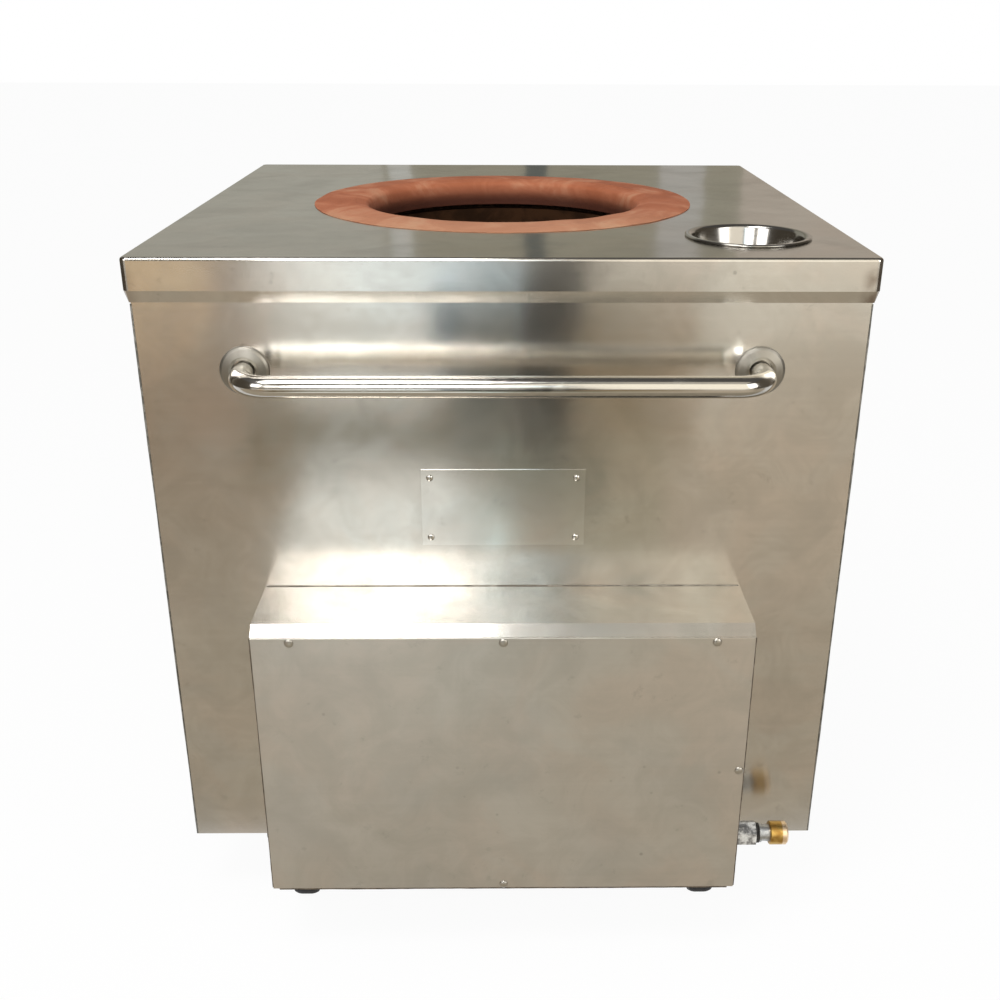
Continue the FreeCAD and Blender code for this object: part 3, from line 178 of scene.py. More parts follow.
def turned(profile, centre, axis, around=96, wave=1.0, lift=0.0):
    """A turned surface: centre + radius wave (cos a side + sin a other) + (height + lift) axis,
    where the profile is (radius, height) and wave and lift may vary round it and along it."""
    axis = np.array(axis, float)
    side = np.roll(axis, 1)
    other = np.cross(axis, side)
    angle = circle(around)[None, :, None]
    radius, height = np.array(profile, float).T[:, :, None]
    spoke = (radius * wave)[:, :, None] * (np.cos(angle) * side + np.sin(angle) * other)
    return np.array(centre) + spoke + (height + lift)[:, :, None] * axis


def tube(path, radius, up, around=32):
    """A round bar: each point of the path + radius (cos a side + sin a below), where
    side is square to the path and to up, and the radius may vary along the path."""
    tangent = unit(np.gradient(path, axis=0))
    side = unit(np.cross(tangent, up))
    below = np.cross(tangent, side)
    angle = circle(around)[None, :, None]
    reach = np.broadcast_to(radius, len(path))[:, None, None]
    spoke = np.cos(angle) * side[:, None] + np.sin(angle) * below[:, None]
    return path[:, None] + reach * spoke


def skin(points, ring=False):
    """Vertices and faces over points[row, column]. The columns join round, and the rows
    join round too on a ring, or else each end closes on its middle."""
    rows, columns = points.shape[:2]
    index = np.arange(rows * columns).reshape(rows, columns)
    index = np.pad(index, ((0, int(ring)), (0, 1)), mode="wrap")
    quads = [index[:-1, :-1], index[:-1, 1:], index[1:, 1:], index[1:, :-1]]
    faces = np.stack(quads, axis=-1).reshape(-1, 4).tolist()
    vertices = points.reshape(-1, 3)
    if not ring:
        middles = rows * columns + np.arange(2)
        vertices = np.concatenate([vertices, points[[0, -1]].mean(axis=1)])
        start = [index[0, 1:], index[0, :-1], np.full(columns, middles[0])]
        end = [index[-1, :-1], index[-1, 1:], np.full(columns, middles[1])]
        faces += np.concatenate([np.stack(start, 1), np.stack(end, 1)]).tolist()
    return vertices, faces


def piece(name, body, skins, finish, replaced=(), crease=35.0):
    """One object made of skins. It rides on a body and stands for the replaced nodes."""
    first = np.cumsum([0] + [len(vertices) for vertices, _ in skins])
    faces = [[start + v for v in face] for start, (_, part) in zip(first, skins) for face in part]
    mesh = bpy.data.meshes.new(name)
    mesh.from_pydata(np.concatenate([vertices for vertices, _ in skins]), [], faces)
    mesh.shade_smooth()
    mesh.set_sharp_from_angle(angle=math.radians(crease))
    mesh.materials.append(finish.material)
    made = bpy.data.objects.new(name, mesh)
    bpy.context.scene.collection.objects.link(made)
    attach(made, body)
    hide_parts(*replaced)


def uneven(angle, amplitude, seed, orders=12):
    """A smooth unevenness round a ring: sines of order 2 and up with random phases,
    each weaker than the one before, scaled to the amplitude."""
    dice = np.random.default_rng(seed)
    order = np.arange(2, 2 + orders)
    phase = dice.uniform(0, 2 * np.pi, orders)
    waves = np.sin(np.multiply.outer(angle, order) + phase) @ (dice.normal(size=orders) / order)
    return amplitude * waves / np.abs(waves).max()


# Brushed sheet covers the cabinet. Its grain is long streaks along one axis, over
# slow clouds of heat tint. It carries hand smudges, specks and stains, and it is
# rubbed a little smoother higher up.
def brushed(name, grain, pale=(0.60, 0.585, 0.55), dark=(0.46, 0.44, 0.40), rough=0.195):
    """Steel whose grain is 1 along the axis that the streaks follow and 0 across it."""
    steel = Finish(name, metallic=1.0, anisotropic=0.65, anisotropic_rotation=0.25)
    fine = np.where(np.array(grain) > 0, 4.0, 320.0)
    coarse = np.where(np.array(grain) > 0, 1.5, 70.0)
    streaks = steel.noise(fine, detail=1.0) * 0.4 + steel.noise(coarse, detail=2.0) * 0.6
    clouds = steel.noise(2.6, detail=4.0, distortion=0.6)
    blotches = steel.noise(15.0, detail=5.0, roughness=0.65, distortion=0.9, shift=5.0)
    warmth = steel.noise(7.0, detail=3.0, distortion=1.2, shift=3.0).ramp(0.38, 0.62)
    smudges = steel.noise(11.0, detail=3.0, distortion=0.3).ramp(0.42, 0.78)
    speckled = steel.noise(5.0, shift=9.0).ramp(0.50, 0.62)
    specks = steel.cells(28.0).ramp(0.09, 0.04) * speckled
    stains = steel.noise(38.0, detail=4.0, roughness=0.7, shift=6.0).ramp(0.62, 0.74)
    tone = clouds.ramp(0.30, 0.70) * 0.5 + blotches.ramp(0.32, 0.68) * 0.4
    tone += streaks.ramp(0.30, 0.70) * 0.1
    warm = tuple(c * k for c, k in zip(pale, (1.02, 0.965, 0.94)))
    clean = tone.mix(dark, warmth.mix(pale, warm))
    soiled = tuple(0.6 * c for c in dark)
    steel.tint = (smudges * 0.2 + specks * 0.45 + stains * 0.25).mix(clean, soiled)
    steel.set("Base Color", steel.tint)
    rubbed = steel.axis("Z").ramp(0.45, 0.65) * 0.035
    steel.set("Roughness", (streaks - 0.5) * 0.02 + smudges * 0.05 - rubbed + rough)
    steel.relief(steel.noise(4.0, detail=1.0, shift=4.0), 0.003)
    return steel


along_x = brushed("brushed_along_x", (1, 0, 0))
along_y = brushed("brushed_along_y", (0, 1, 0))
worktop_steel = brushed("brushed_worktop", (1, 0, 0))
across = worktop_steel.axis("X")
# Dark patches at the two front corners: partly heat tint, partly painted shade.
at_corner = across.ramp(0.404, 0.426) + across.ramp(-0.410, -0.430) * 0.4
low_front = worktop_steel.axis("Z").ramp(0.909, 0.892) * worktop_steel.axis("Y").ramp(-0.31, -0.36)
broken = worktop_steel.noise(22.0, detail=3.0, shift=2.0).ramp(0.30, 0.50)
corner_tint_and_shade = at_corner * low_front * broken * 0.85
worktop_steel.set("Base Color", corner_tint_and_shade.mix(worktop_steel.tint, (0.17, 0.125, 0.095)))
cover_steel = brushed(
    "brushed_cover", (1, 0, 0), pale=(0.54, 0.52, 0.48), dark=(0.42, 0.40, 0.36), rough=0.40
)


# Polished steel is on the handle, the flanges, the bowl and the screws. It
# has faint wipe marks and only a little waviness.
def polished(name, tint=(0.52, 0.50, 0.46), rough=0.13, scale=30.0):
    steel = Finish(name, metallic=1.0)
    wipes = steel.noise(scale, detail=5.0, roughness=0.6, distortion=1.0)
    dull = wipes.ramp(0.45, 0.75)
    steel.set("Base Color", (dull * 0.6).mix(tint, tuple(0.75 * c for c in tint)))
    steel.set("Roughness", dull * 0.10 + rough)
    steel.relief(steel.noise(45.0, detail=1.0, shift=7.0), 0.00006)
    return steel


bright = polished("polished_steel")
mirror = polished("mirror_steel", tint=(0.40, 0.385, 0.36), rough=0.15, scale=18.0)
satin = polished("satin_steel", tint=(0.42, 0.40, 0.36), rough=0.30, scale=60.0)
dull = polished("dull_steel", tint=(0.25, 0.235, 0.205), rough=0.38, scale=60.0)


# Fired clay: red-brown and matt, paler with dust and, at the front, painted light, dark
# down the hole with smoke black and painted shade, with grit and shallow dents.
clay = Finish("fired_clay", specular_ior_level=0.25)
lip_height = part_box("mouth_ring")[1].z
grit = clay.noise(420.0, detail=4.0, roughness=0.7)
patches = clay.noise(14.0, detail=5.0, roughness=0.6, distortion=0.7)
# Down the hole the clay goes dark: smoke black and painted shade.
soot_and_shade_start = lip_height - 0.006
soot_and_shade_end = lip_height - 0.034
soot_and_shade = clay.axis("Z").ramp(soot_and_shade_start, soot_and_shade_end)
body_clay = patches.ramp(0.35, 0.65).mix((0.32, 0.095, 0.040), (0.42, 0.145, 0.070))
# The front is painted paler: painted light, added to the patches of dust.
painted_front_light = clay.axis("Y").ramp(0.0, -0.22) * 0.45
dust_and_painted_light = (patches.ramp(0.50, 0.70) * 0.4 + painted_front_light).mix(body_clay, (0.46, 0.27, 0.16))
clay.set("Base Color", (soot_and_shade * 0.95).mix(dust_and_painted_light, (0.050, 0.011, 0.004)))
clay.set("Roughness", grit * 0.15 + 0.72)
clay.relief(clay.noise(55.0, detail=4.0, distortion=0.5), 0.0016)
clay.relief(grit, 0.0004)


# The cast, plated, painted and moulded finishes are plain grounds with the
# mottling that each one has: spangle, zinc streaks, casting grain or dust.
def mottled(name, tint, other, scale, rough, metallic=0.0, depth=0.0, spread=0.12, sheen=0.5):
    """Cloudy patches of one colour over another. The patches are rougher by spread and
    stand out by depth metres."""
    finish = Finish(name, metallic=metallic, specular_ior_level=sheen)
    mottle = finish.noise(scale, detail=5.0, roughness=0.6, distortion=0.4)
    amount = mottle.ramp(0.40, 0.62)
    finish.tint = amount.mix(tint, other)
    finish.set("Base Color", finish.tint)
    finish.set("Roughness", amount * spread + rough)
    finish.relief(mottle, depth)
    return finish


finishes = {
    "stainless_brushed": along_x,
    "stainless_polished": bright,
    "nameplate": brushed(
        "brushed_plate", (1, 0, 0), pale=(0.66, 0.65, 0.62), dark=(0.56, 0.54, 0.50), rough=0.20
    ),
    "terracotta": clay,
    "ceramic_fibre": mottled(
        "ceramic_fibre", (0.78, 0.76, 0.70), (0.60, 0.57, 0.50), 60.0, 0.9, depth=0.003
    ),
    "pot_steel": mottled(
        "burnt_steel", (0.020, 0.009, 0.004), (0.040, 0.018, 0.008), 25.0, 0.85,
        depth=0.0006, sheen=0.05,
    ),
    "mild_steel": mottled(
        "grey_primer", (0.15, 0.15, 0.155), (0.20, 0.195, 0.19), 40.0, 0.5, depth=0.0002
    ),
    "zinc_plated": mottled(
        "zinc_plate", (0.56, 0.57, 0.60), (0.46, 0.46, 0.44), 80.0, 0.28, 1.0, depth=0.0001
    ),
    "galvanised": mottled(
        "galvanised", (0.50, 0.51, 0.52), (0.36, 0.37, 0.38), 150.0, 0.34, 1.0, depth=0.0002
    ),
    "brass": mottled(
        "machined_brass", (0.52, 0.34, 0.10), (0.36, 0.20, 0.05), 90.0, 0.29, 1.0, depth=0.0001
    ),
    "cast_iron": mottled(
        "cast_iron", (0.050, 0.047, 0.044), (0.085, 0.070, 0.058), 120.0, 0.60, 0.3, depth=0.0006
    ),
    "valve_alloy": mottled(
        "die_casting", (0.48, 0.48, 0.49), (0.36, 0.36, 0.36), 110.0, 0.42, 1.0, depth=0.0003
    ),
    "aluminium_tube": mottled(
        "drawn_tube", (0.62, 0.62, 0.63), (0.50, 0.50, 0.50), 60.0, 0.30, 1.0, depth=0.0001
    ),
    "knob_black": mottled(
        "black_moulding", (0.018, 0.018, 0.019), (0.035, 0.034, 0.032), 200.0, 0.38, depth=0.0002
    ),
    "button_red": mottled(
        "red_moulding", (0.42, 0.020, 0.016), (0.50, 0.050, 0.040), 200.0, 0.35, depth=0.0001
    ),
    "wheel_black": mottled(
        "black_wheel", (0.010, 0.010, 0.011), (0.030, 0.028, 0.026), 45.0, 0.6,
        depth=0.0003, sheen=0.2,
    ),
}
for name, node in frame["nodes"].items():
    node.data.materials.clear()
    node.data.materials.append(finishes[slots[name]].material)

# The stretched gloss turns round the middle of a mesh's texture space. With that
# middle far in front of the sheet, it runs straight along the sheet's width.
for name in (
    "top_cover",
    "front_panel",
    "back_panel",
    "burner_hood",
    "burner_cover",
    "name_plate",
):
    mesh = frame["nodes"][name].data
    mesh.use_auto_texspace = False
    mesh.texspace_location = (0.0, -10.0, 0.0)
    mesh.texspace_size = (100.0, 5.0, 1.0)

# The side panels' grain runs along y, the worktop is dark at two front corners with heat
# tint and painted shade, and the burner cover is duller. The union is smeared with jointing
# paste, the brass has a painted highlight at its open end, and the rope under the clay is sooty.
smeared_union = mottled(
    "smeared_union", (0.22, 0.22, 0.22), (0.80, 0.80, 0.78), 110.0, 0.30, 0.5,
    depth=0.0010, spread=0.4,
)
sooty_rope = mottled(
    "sooty_rope", (0.020, 0.011, 0.007), (0.040, 0.024, 0.015), 150.0, 0.95,
    depth=0.0005, sheen=0.05,
)
for name, finish in (
    ("left_panel", along_y),
    ("right_panel", along_y),
    ("burner_cover", cover_steel),
    ("top_cover", worktop_steel),
    ("inlet_union", smeared_union),
    ("mouth_rope", sooty_rope),
):
    frame["nodes"][name].data.materials[0] = finish.material
brass = finishes["brass"]
# The brass is painted pale at its open end: a painted highlight.
brass_end_highlight = brass.axis("X").ramp(0.3705, 0.3720)
brass.set("Base Color", brass_end_highlight.mix(brass.tint, (0.80, 0.62, 0.42)))


# The clay ring is thrown and smoothed by hand, so its edge wanders over the
# sheet and its lip is uneven.
ring_low, ring_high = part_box("mouth_ring")
ring_centre = ((ring_low.x + ring_high.x) / 2, (ring_low.y + ring_high.y) / 2, 0.0)
ring_outer = (ring_high.x - ring_low.x) / 2
mouth = 0.190
ring_body = 0.2515
sheet_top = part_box("top_cover")[1].z
ring_sole = ring_low.z + 0.001
ring_rest = sheet_top + 0.0002
ring_edge = ring_outer - 0.001
ring_bore = mouth + 0.001
ring_profile = rounded(
    [
        (ring_body, ring_sole),
        (ring_body, ring_rest),
        (ring_edge, ring_rest),
        (ring_edge, sheet_top + 0.0012),
        (ring_outer - 0.020, sheet_top + 0.0042),
        (mouth + 0.024, ring_high.z - 0.0004),
        (mouth + 0.006, ring_high.z - 0.006),
        (ring_bore, ring_high.z - 0.022),
        (ring_bore, ring_sole),
        (ring_body, ring_sole),
    ],
    [0.0001, 0.0001, 0.0004, 0.008, 0.020, 0.012, 0.020, 0.001],
    steps=10,
)[:-1]
ring_steps = 360
ring_angle = circle(ring_steps)
above_sheet = np.clip((ring_profile[:, 1:] - sheet_top) / 0.004, 0, 1)
edge = np.clip((ring_profile[:, :1] - ring_body) / (ring_outer - ring_body), 0, 1)
edge_wave = edge * (uneven(ring_angle, 0.010, 3, orders=24) + 0.014)
ring_wave = 1 + edge_wave + (1 - edge) * uneven(ring_angle, 0.004, 5) * above_sheet
ring_lift = above_sheet * (uneven(ring_angle, 0.0009, 8, orders=20) - 0.0009)
ring_points = turned(ring_profile, ring_centre, (0, 0, 1), ring_steps, ring_wave, ring_lift)
ring_skin = skin(ring_points, ring=True)
piece("clay_ring", "cabinet", [ring_skin], clay, ["mouth_ring"], crease=70.0)


# The water bowl is a pressed dish. Its rolled rim rests on the sheet round the
# hole, and it lifts straight out.
bowl_low, bowl_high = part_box("water_bowl")
bowl_rim = (bowl_high.x - bowl_low.x) / 2
bowl_centre = ((bowl_low.x + bowl_high.x) / 2, (bowl_low.y + bowl_high.y) / 2, bowl_high.z)
bowl_wall = 0.069
bowl_waist = 0.062
bowl_waist_height = -0.036
bowl_foot = 0.042
bowl_depth = bowl_high.z - bowl_low.z
bowl_sheet = 0.001
bowl_middle = 0.001
rim_roll = bowl_rim - 0.0016
rim_top = -0.0002
rim_edge = -0.0018
rim_underside = -0.0034
bowl_profile = rounded(
    [
        (bowl_middle, -bowl_depth),
        (bowl_foot, -bowl_depth),
        (bowl_waist, bowl_waist_height),
        (bowl_wall + bowl_sheet, rim_underside),
        (rim_roll, rim_underside),
        (bowl_rim, rim_edge),
        (rim_roll, rim_top),
        (bowl_wall, rim_top),
        (bowl_waist - bowl_sheet, bowl_waist_height),
        (bowl_foot - bowl_sheet, -bowl_depth + bowl_sheet),
        (bowl_middle, -bowl_depth + bowl_sheet),
    ],
    [0.010, 0.030, 0.001, 0.0008, 0.0008, 0.0008, 0.006, 0.030, 0.010],
    steps=14,
)
bowl_skin = skin(turned(bowl_profile, bowl_centre, (0, 0, 1), around=128))
piece(
    "steel_bowl", "water_bowl", [bowl_skin], mirror, ["water_bowl"],
    crease=50.0,
)


# The push handle is a bent tube whose ends enter two domed flanges, each a fine gap
# clear of it. A band of painted dark reflection runs along the tube's lower front, more
# to the right, and its back is painted pale as a painted highlight.
bar_low, bar_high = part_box("handle_bar")
bar_radius = (bar_high.z - bar_low.z) / 2
bar_height = (bar_high.z + bar_low.z) / 2
bar_end = bar_high.x - bar_radius
bar_line = bar_low.y + bar_radius
bend_radius = 0.038
handle_finish = polished("handle_steel_painted_reflection")
# lower_side marks the band of painted dark reflection on the lower front, and behind marks the
# back, which is painted pale as a painted highlight.
lower_side = handle_finish.axis("Z").ramp(bar_height - 0.0015, bar_height - 0.0050)
lower_side *= handle_finish.axis("Z").ramp(bar_height - 0.0115, bar_height - 0.0090)
lower_side *= handle_finish.axis("Y").ramp(bar_line, bar_line - 0.004)
# Noise breaks up the band of painted dark reflection.
band_breakup = handle_finish.noise((60.0, 400.0, 400.0), detail=3.0).ramp(0.30, 0.65)
shaded = handle_finish.axis("X").ramp(-0.05, 0.06) * 0.35 + 0.08
behind = handle_finish.axis("Y").ramp(bar_line, bar_low.y + bar_radius * 1.8)
bare = behind.mix((0.52, 0.50, 0.46), (0.95, 0.93, 0.88))
painted_dark_band = lower_side * (band_breakup * 0.3 + 0.6) * shaded
handle_finish.set("Base Color", painted_dark_band.mix(bare, (0.10, 0.10, 0.085)))
handle_corners = [
    (-bar_end, bar_high.y, bar_height),
    (-bar_end, bar_line, bar_height),
    (bar_end, bar_line, bar_height),
    (bar_end, bar_high.y, bar_height),
]
handle_path = rounded(handle_corners, bend_radius, steps=24)
handle_skin = skin(tube(handle_path, bar_radius, (0, 0, 1), around=64))
piece("handle_tube", "cabinet", [handle_skin], handle_finish, ["handle_bar"])

for side in ("left", "right"):
    node = f"{side}_handle_flange"
    flange_low, flange_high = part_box(node)
    flange_radius = (flange_high.x - flange_low.x) / 2
    flange_height = flange_high.y - flange_low.y
    flange_bore = bar_radius + 0.0014
    flange_foot = 0.0002
    flange_centre = (
        (flange_low.x + flange_high.x) / 2,
        flange_high.y,
        (flange_low.z + flange_high.z) / 2,
    )
    flange_profile = rounded(
        [
            (flange_bore, flange_foot),
            (flange_radius, flange_foot),
            (flange_radius, 0.0034),
            (flange_radius - 0.0030, 0.0052),
            (bar_radius + 0.0050, flange_height),
            (flange_bore, flange_height - 0.0006),
            (flange_bore, flange_foot),
        ],
        [0.0003, 0.0010, 0.0014, 0.0020, 0.0008],
        steps=8,
    )[:-1]
    flange_skin = skin(turned(flange_profile, flange_centre, (0, -1, 0)), ring=True)
    piece(f"{side}_flange", "cabinet", [flange_skin], dull, [node])


# The screws, pins and rivets have low domed heads. The screws hold the burner
# cover, the pins hold the bare plate, and a row of rivets runs down each side of
# the back.
def heads(radius, height, spots, plane, facing=-1.0):
    """Domed heads: at each spot (x, z) the profile runs over a quarter ellipse."""
    sunk = 0.0001
    tip = radius * 0.05
    slope = np.linspace(0, np.pi / 2, 10)
    dome = np.stack([radius * np.cos(slope), height * np.sin(slope)], axis=1)
    profile = np.concatenate([[(radius, -sunk)], dome[:-1], [(tip, height)]])
    return [skin(turned(profile, (x, plane, z), (0, facing, 0), around=40)) for x, z in spots]


cover_low, cover_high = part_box("burner_cover")
screw_height = cover_low.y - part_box("cover_screws")[0].y
screw_radius = 0.0056
screw_inset = 0.006
screw_span = 0.254
side_screw_height = 0.2969
screw_spots = [
    (-screw_span, cover_high.z - screw_inset),
    (0.0, cover_high.z - screw_inset),
    (screw_span, cover_high.z - screw_inset),
    (cover_high.x - screw_inset, side_screw_height),
    (0.0, cover_low.z + screw_inset),
]
screw_skins = heads(screw_radius, screw_height, screw_spots, cover_low.y)
piece("screw_heads", "cabinet", screw_skins, satin, ["cover_screws"])

plate_low, plate_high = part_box("name_plate")
pin_height = plate_low.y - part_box("plate_pins")[0].y
pin_radius = 0.0042
pin_inset = 0.0105
pin_spots = [
    (x, z)
    for x in (plate_low.x + pin_inset, plate_high.x - pin_inset)
    for z in (plate_low.z + pin_inset, plate_high.z - pin_inset)
]
pin_skins = heads(pin_radius, pin_height, pin_spots, plate_low.y)
piece("pin_heads", "cabinet", pin_skins, bright, ["plate_pins"])

back_low, back_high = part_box("back_panel")
rivet_radius = 0.0032
rivet_height = 0.0012
rivet_inset = 0.012
rivet_levels = np.linspace(back_low.z + 0.05, back_high.z - 0.09, 6)
rivet_spots = [
    (x, z)
    for x in (back_low.x + rivet_inset, back_high.x - rivet_inset)
    for z in rivet_levels
]
rivet_skins = heads(rivet_radius, rivet_height, rivet_spots, back_high.y, facing=1.0)
piece("back_rivets", "cabinet", rivet_skins, satin)


# A thin bead of grey sealant closes the joint between the hood and the front, dark beads
# at the cover's sides and lower edge are painted shade in those fine joints, and a weld line
# runs down each corner of the cabinet.
def seam(corners, bend, radius, seed, step=0.002):
    """A bead along a bent line: a tube whose radius wanders by a third of itself."""
    line = rounded(corners, bend, steps=6)
    legs = np.linalg.norm(np.diff(line, axis=0), axis=1)
    along = np.concatenate([[0], np.cumsum(legs)])
    spots = np.linspace(0, along[-1], int(along[-1] / step))
    path = np.stack([np.interp(spots, along, line[:, k]) for k in range(3)], axis=1)
    width = radius * (1 + uneven(spots / along[-1] * 2 * np.pi, 0.33, seed, orders=40))
    return skin(tube(path, width, (0, 1, 0), around=10))


sealant = mottled("grey_sealant", (0.12, 0.10, 0.075), (0.28, 0.25, 0.20), 60.0, 0.6, depth=0.0004)
hood_low, hood_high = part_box("burner_hood")
bead_plane = hood_high.y - 0.0004
bead_end = hood_low.z + 0.03
hood_corners = [
    (hood_low.x, bead_plane, bead_end),
    (hood_low.x, bead_plane, hood_high.z),
    (hood_high.x, bead_plane, hood_high.z),
    (hood_high.x, bead_plane, bead_end),
]
piece("hood_seam", "cabinet", [seam(hood_corners, 0.003, 0.0009, 21)], sealant)

# The dark beads in the cover's side and lower joints are painted shade.
painted_joint_shade = mottled(
    "painted_joint_shade", (0.060, 0.045, 0.030), (0.13, 0.10, 0.07), 60.0, 0.65, depth=0.0003, sheen=0.2
)
joint_shade_skins = []
side_levels = (cover_low.z + 0.002, cover_high.z - 0.001)
for side, seed in ((cover_low.x - 0.0002, 31), (cover_high.x + 0.0002, 32)):
    side_joint = [(side, cover_high.y - 0.0002, z) for z in side_levels]
    joint_shade_skins.append(seam(side_joint, 0.001, 0.0010, seed))
lower_ends = (cover_low.x + 0.008, cover_high.x - 0.008)
lower_joint = [(x, cover_low.y + 0.0004, cover_low.z - 0.0007) for x in lower_ends]
joint_shade_skins.append(seam(lower_joint, 0.001, 0.0008, 33))
piece("cover_seams", "cabinet", joint_shade_skins, painted_joint_shade)

cabinet_low, cabinet_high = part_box("front_panel")[0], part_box("back_panel")[1]
skirt_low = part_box("top_cover")[0].z
weld_levels = (cabinet_low.z + 0.001, skirt_low - 0.002)
weld_line = mottled(
    "corner_weld", (0.16, 0.16, 0.15), (0.30, 0.29, 0.27), 90.0, 0.45, 1.0, depth=0.0003
)
weld_skins = []
for x, y, seed in (
    (cabinet_low.x, cabinet_low.y, 41),
    (cabinet_high.x, cabinet_low.y, 42),
    (cabinet_low.x, cabinet_high.y, 43),
    (cabinet_high.x, cabinet_high.y, 44),
):
    weld_skins.append(seam([(x, y, z) for z in weld_levels], 0.001, 0.0011, seed, step=0.004))
piece("corner_welds", "cabinet", weld_skins, weld_line)


# The gas fitting's pipe thread shows between the union and the sleeve, near black as painted shade
# in that gap.
adapter_low, adapter_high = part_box("inlet_adapter")
thread_axis = (0.0, (adapter_low.y + adapter_high.y) / 2, (adapter_low.z + adapter_high.z) / 2)
thread_radius = (adapter_high.z - adapter_low.z) / 2 + 0.0002
thread_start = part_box("inlet_union")[1].x + 0.0001
thread_crests = 4
thread_pitch = 0.0013
thread_height = 0.0005
thread_marks = np.arange(2 * thread_crests + 1)
thread_reach = thread_radius + thread_height * (thread_marks % 2)
thread_places = thread_start + thread_marks * thread_pitch / 2
thread_profile = np.stack([thread_reach, thread_places], axis=1)
thread_skin = skin(turned(thread_profile, thread_axis, (1, 0, 0), around=64))
thread_painted_shade = mottled(
    "thread_painted_shade", (0.035, 0.033, 0.032), (0.10, 0.095, 0.09), 200.0, 0.5, 0.6, depth=0.0002
)
piece("fitting_thread", "cabinet", [thread_skin], thread_painted_shade, crease=20.0)


# The studio is a pale floor under a white surround. Both show white to the
# camera and in the metal, and the floor keeps the object's shadow.
def light_rays(tree):
    """1 for rays that come from the camera or off gloss or glass, 0 for light on matt surfaces."""
    path = tree.nodes.new("ShaderNodeLightPath")
    total = path.outputs["Is Camera Ray"]
    for name in ("Is Glossy Ray", "Is Transmission Ray"):
        add = tree.nodes.new("ShaderNodeMath")
        add.operation = "MAXIMUM"
        tree.links.new(total, add.inputs[0])
        tree.links.new(path.outputs[name], add.inputs[1])
        total = add.outputs[0]
    return total


def stage_panel(name, corners, material):
    mesh = bpy.data.meshes.new(name)
    mesh.from_pydata(corners, [], [tuple(range(len(corners)))])
    mesh.materials.append(material)
    made = bpy.data.objects.new(name, mesh)
    bpy.context.scene.collection.objects.link(made)
    return made


reach = 20.0
floor_white = 0.95
floor_finish = Finish("studio_floor", roughness=0.9, specular_ior_level=0.0)
floor_finish.set("Base Color", floor_finish.noise(3.0).mix((0.80, 0.80, 0.79), (0.83, 0.83, 0.82)))
tree = floor_finish.tree
glow = tree.nodes.new("ShaderNodeEmission")
blend = tree.nodes.new("ShaderNodeMixShader")
rays = Field(floor_finish, light_rays(tree)) * floor_white
tree.links.new(rays.socket, blend.inputs[0])
tree.links.new(floor_finish.shader.outputs[0], blend.inputs[1])
tree.links.new(glow.outputs[0], blend.inputs[2])
tree.links.new(blend.outputs[0], tree.nodes["Material Output"].inputs[0])
floor_corners = [(-reach, -reach, 0), (reach, -reach, 0), (reach, reach, 0), (-reach, reach, 0)]
stage_panel("floor", floor_corners, floor_finish.material)

world = bpy.data.worlds.new("studio")
bpy.context.scene.world = world
world.use_nodes = True
tree = world.node_tree
fill = tree.nodes["Background"]
fill.inputs["Color"].default_value = (1.0, 1.0, 1.0, 1.0)
fill.inputs["Strength"].default_value = 0.5
surround = tree.nodes.new("ShaderNodeBackground")
surround.inputs["Color"].default_value = (1.0, 1.0, 1.0, 1.0)
blend = tree.nodes.new("ShaderNodeMixShader")
tree.links.new(light_rays(tree), blend.inputs[0])
tree.links.new(fill.outputs[0], blend.inputs[1])
tree.links.new(surround.outputs[0], blend.inputs[2])
tree.links.new(blend.outputs[0], tree.nodes["World Output"].inputs[0])


# Soft lamps hang overhead and in front at each side. All of them aim at the middle
# of the cabinet.
lamp_target = np.array((0.0, 0.0, 0.5))
for name, place, size, power in (
    ("overhead", (-0.65, -1.5, 3.2), (1.3, 0.9), 55.0),
    ("front_left", (-1.8, -2.4, 1.9), (1.2, 1.2), 22.0),
    ("front_right", (2.0, -2.0, 1.6), (1.0, 1.6), 18.0),
):
    lamp = bpy.data.lights.new(name, "AREA")
    lamp.shape = "RECTANGLE"
    lamp.size, lamp.size_y = size
    lamp.energy = power
    made = bpy.data.objects.new(name, lamp)
    made.location = place
    aim = lamp_target - np.array(place)
    tilt = math.atan2(math.hypot(aim[0], aim[1]), -aim[2])
    made.rotation_euler = (tilt, 0.0, math.atan2(-aim[0], aim[1]))
    bpy.context.scene.collection.objects.link(made)


# Cards shape what the metal reflects, and only reflections see them. Tan, pale and
# dark ones lie on the floor and overhead, a bright window, dull walls and narrow
# stands are upright in front, and grey walls and strips are upright behind.
def card(name, corners, tint, strength=1.0):
    """A glowing sheet. Its colour is the tint times the strength."""
    glowing = bpy.data.materials.new(name)
    glowing.use_nodes = True
    nodes = glowing.node_tree.nodes
    nodes.remove(nodes["Principled BSDF"])
    light = nodes.new("ShaderNodeEmission")
    light.inputs["Color"].default_value = (*tint, 1.0)
    light.inputs["Strength"].default_value = strength
    glowing.node_tree.links.new(light.outputs[0], nodes["Material Output"].inputs[0])
    made = stage_panel(name, corners, glowing)
    made.visible_camera = False
    made.visible_diffuse = False
    made.visible_shadow = False
    made.visible_transmission = False


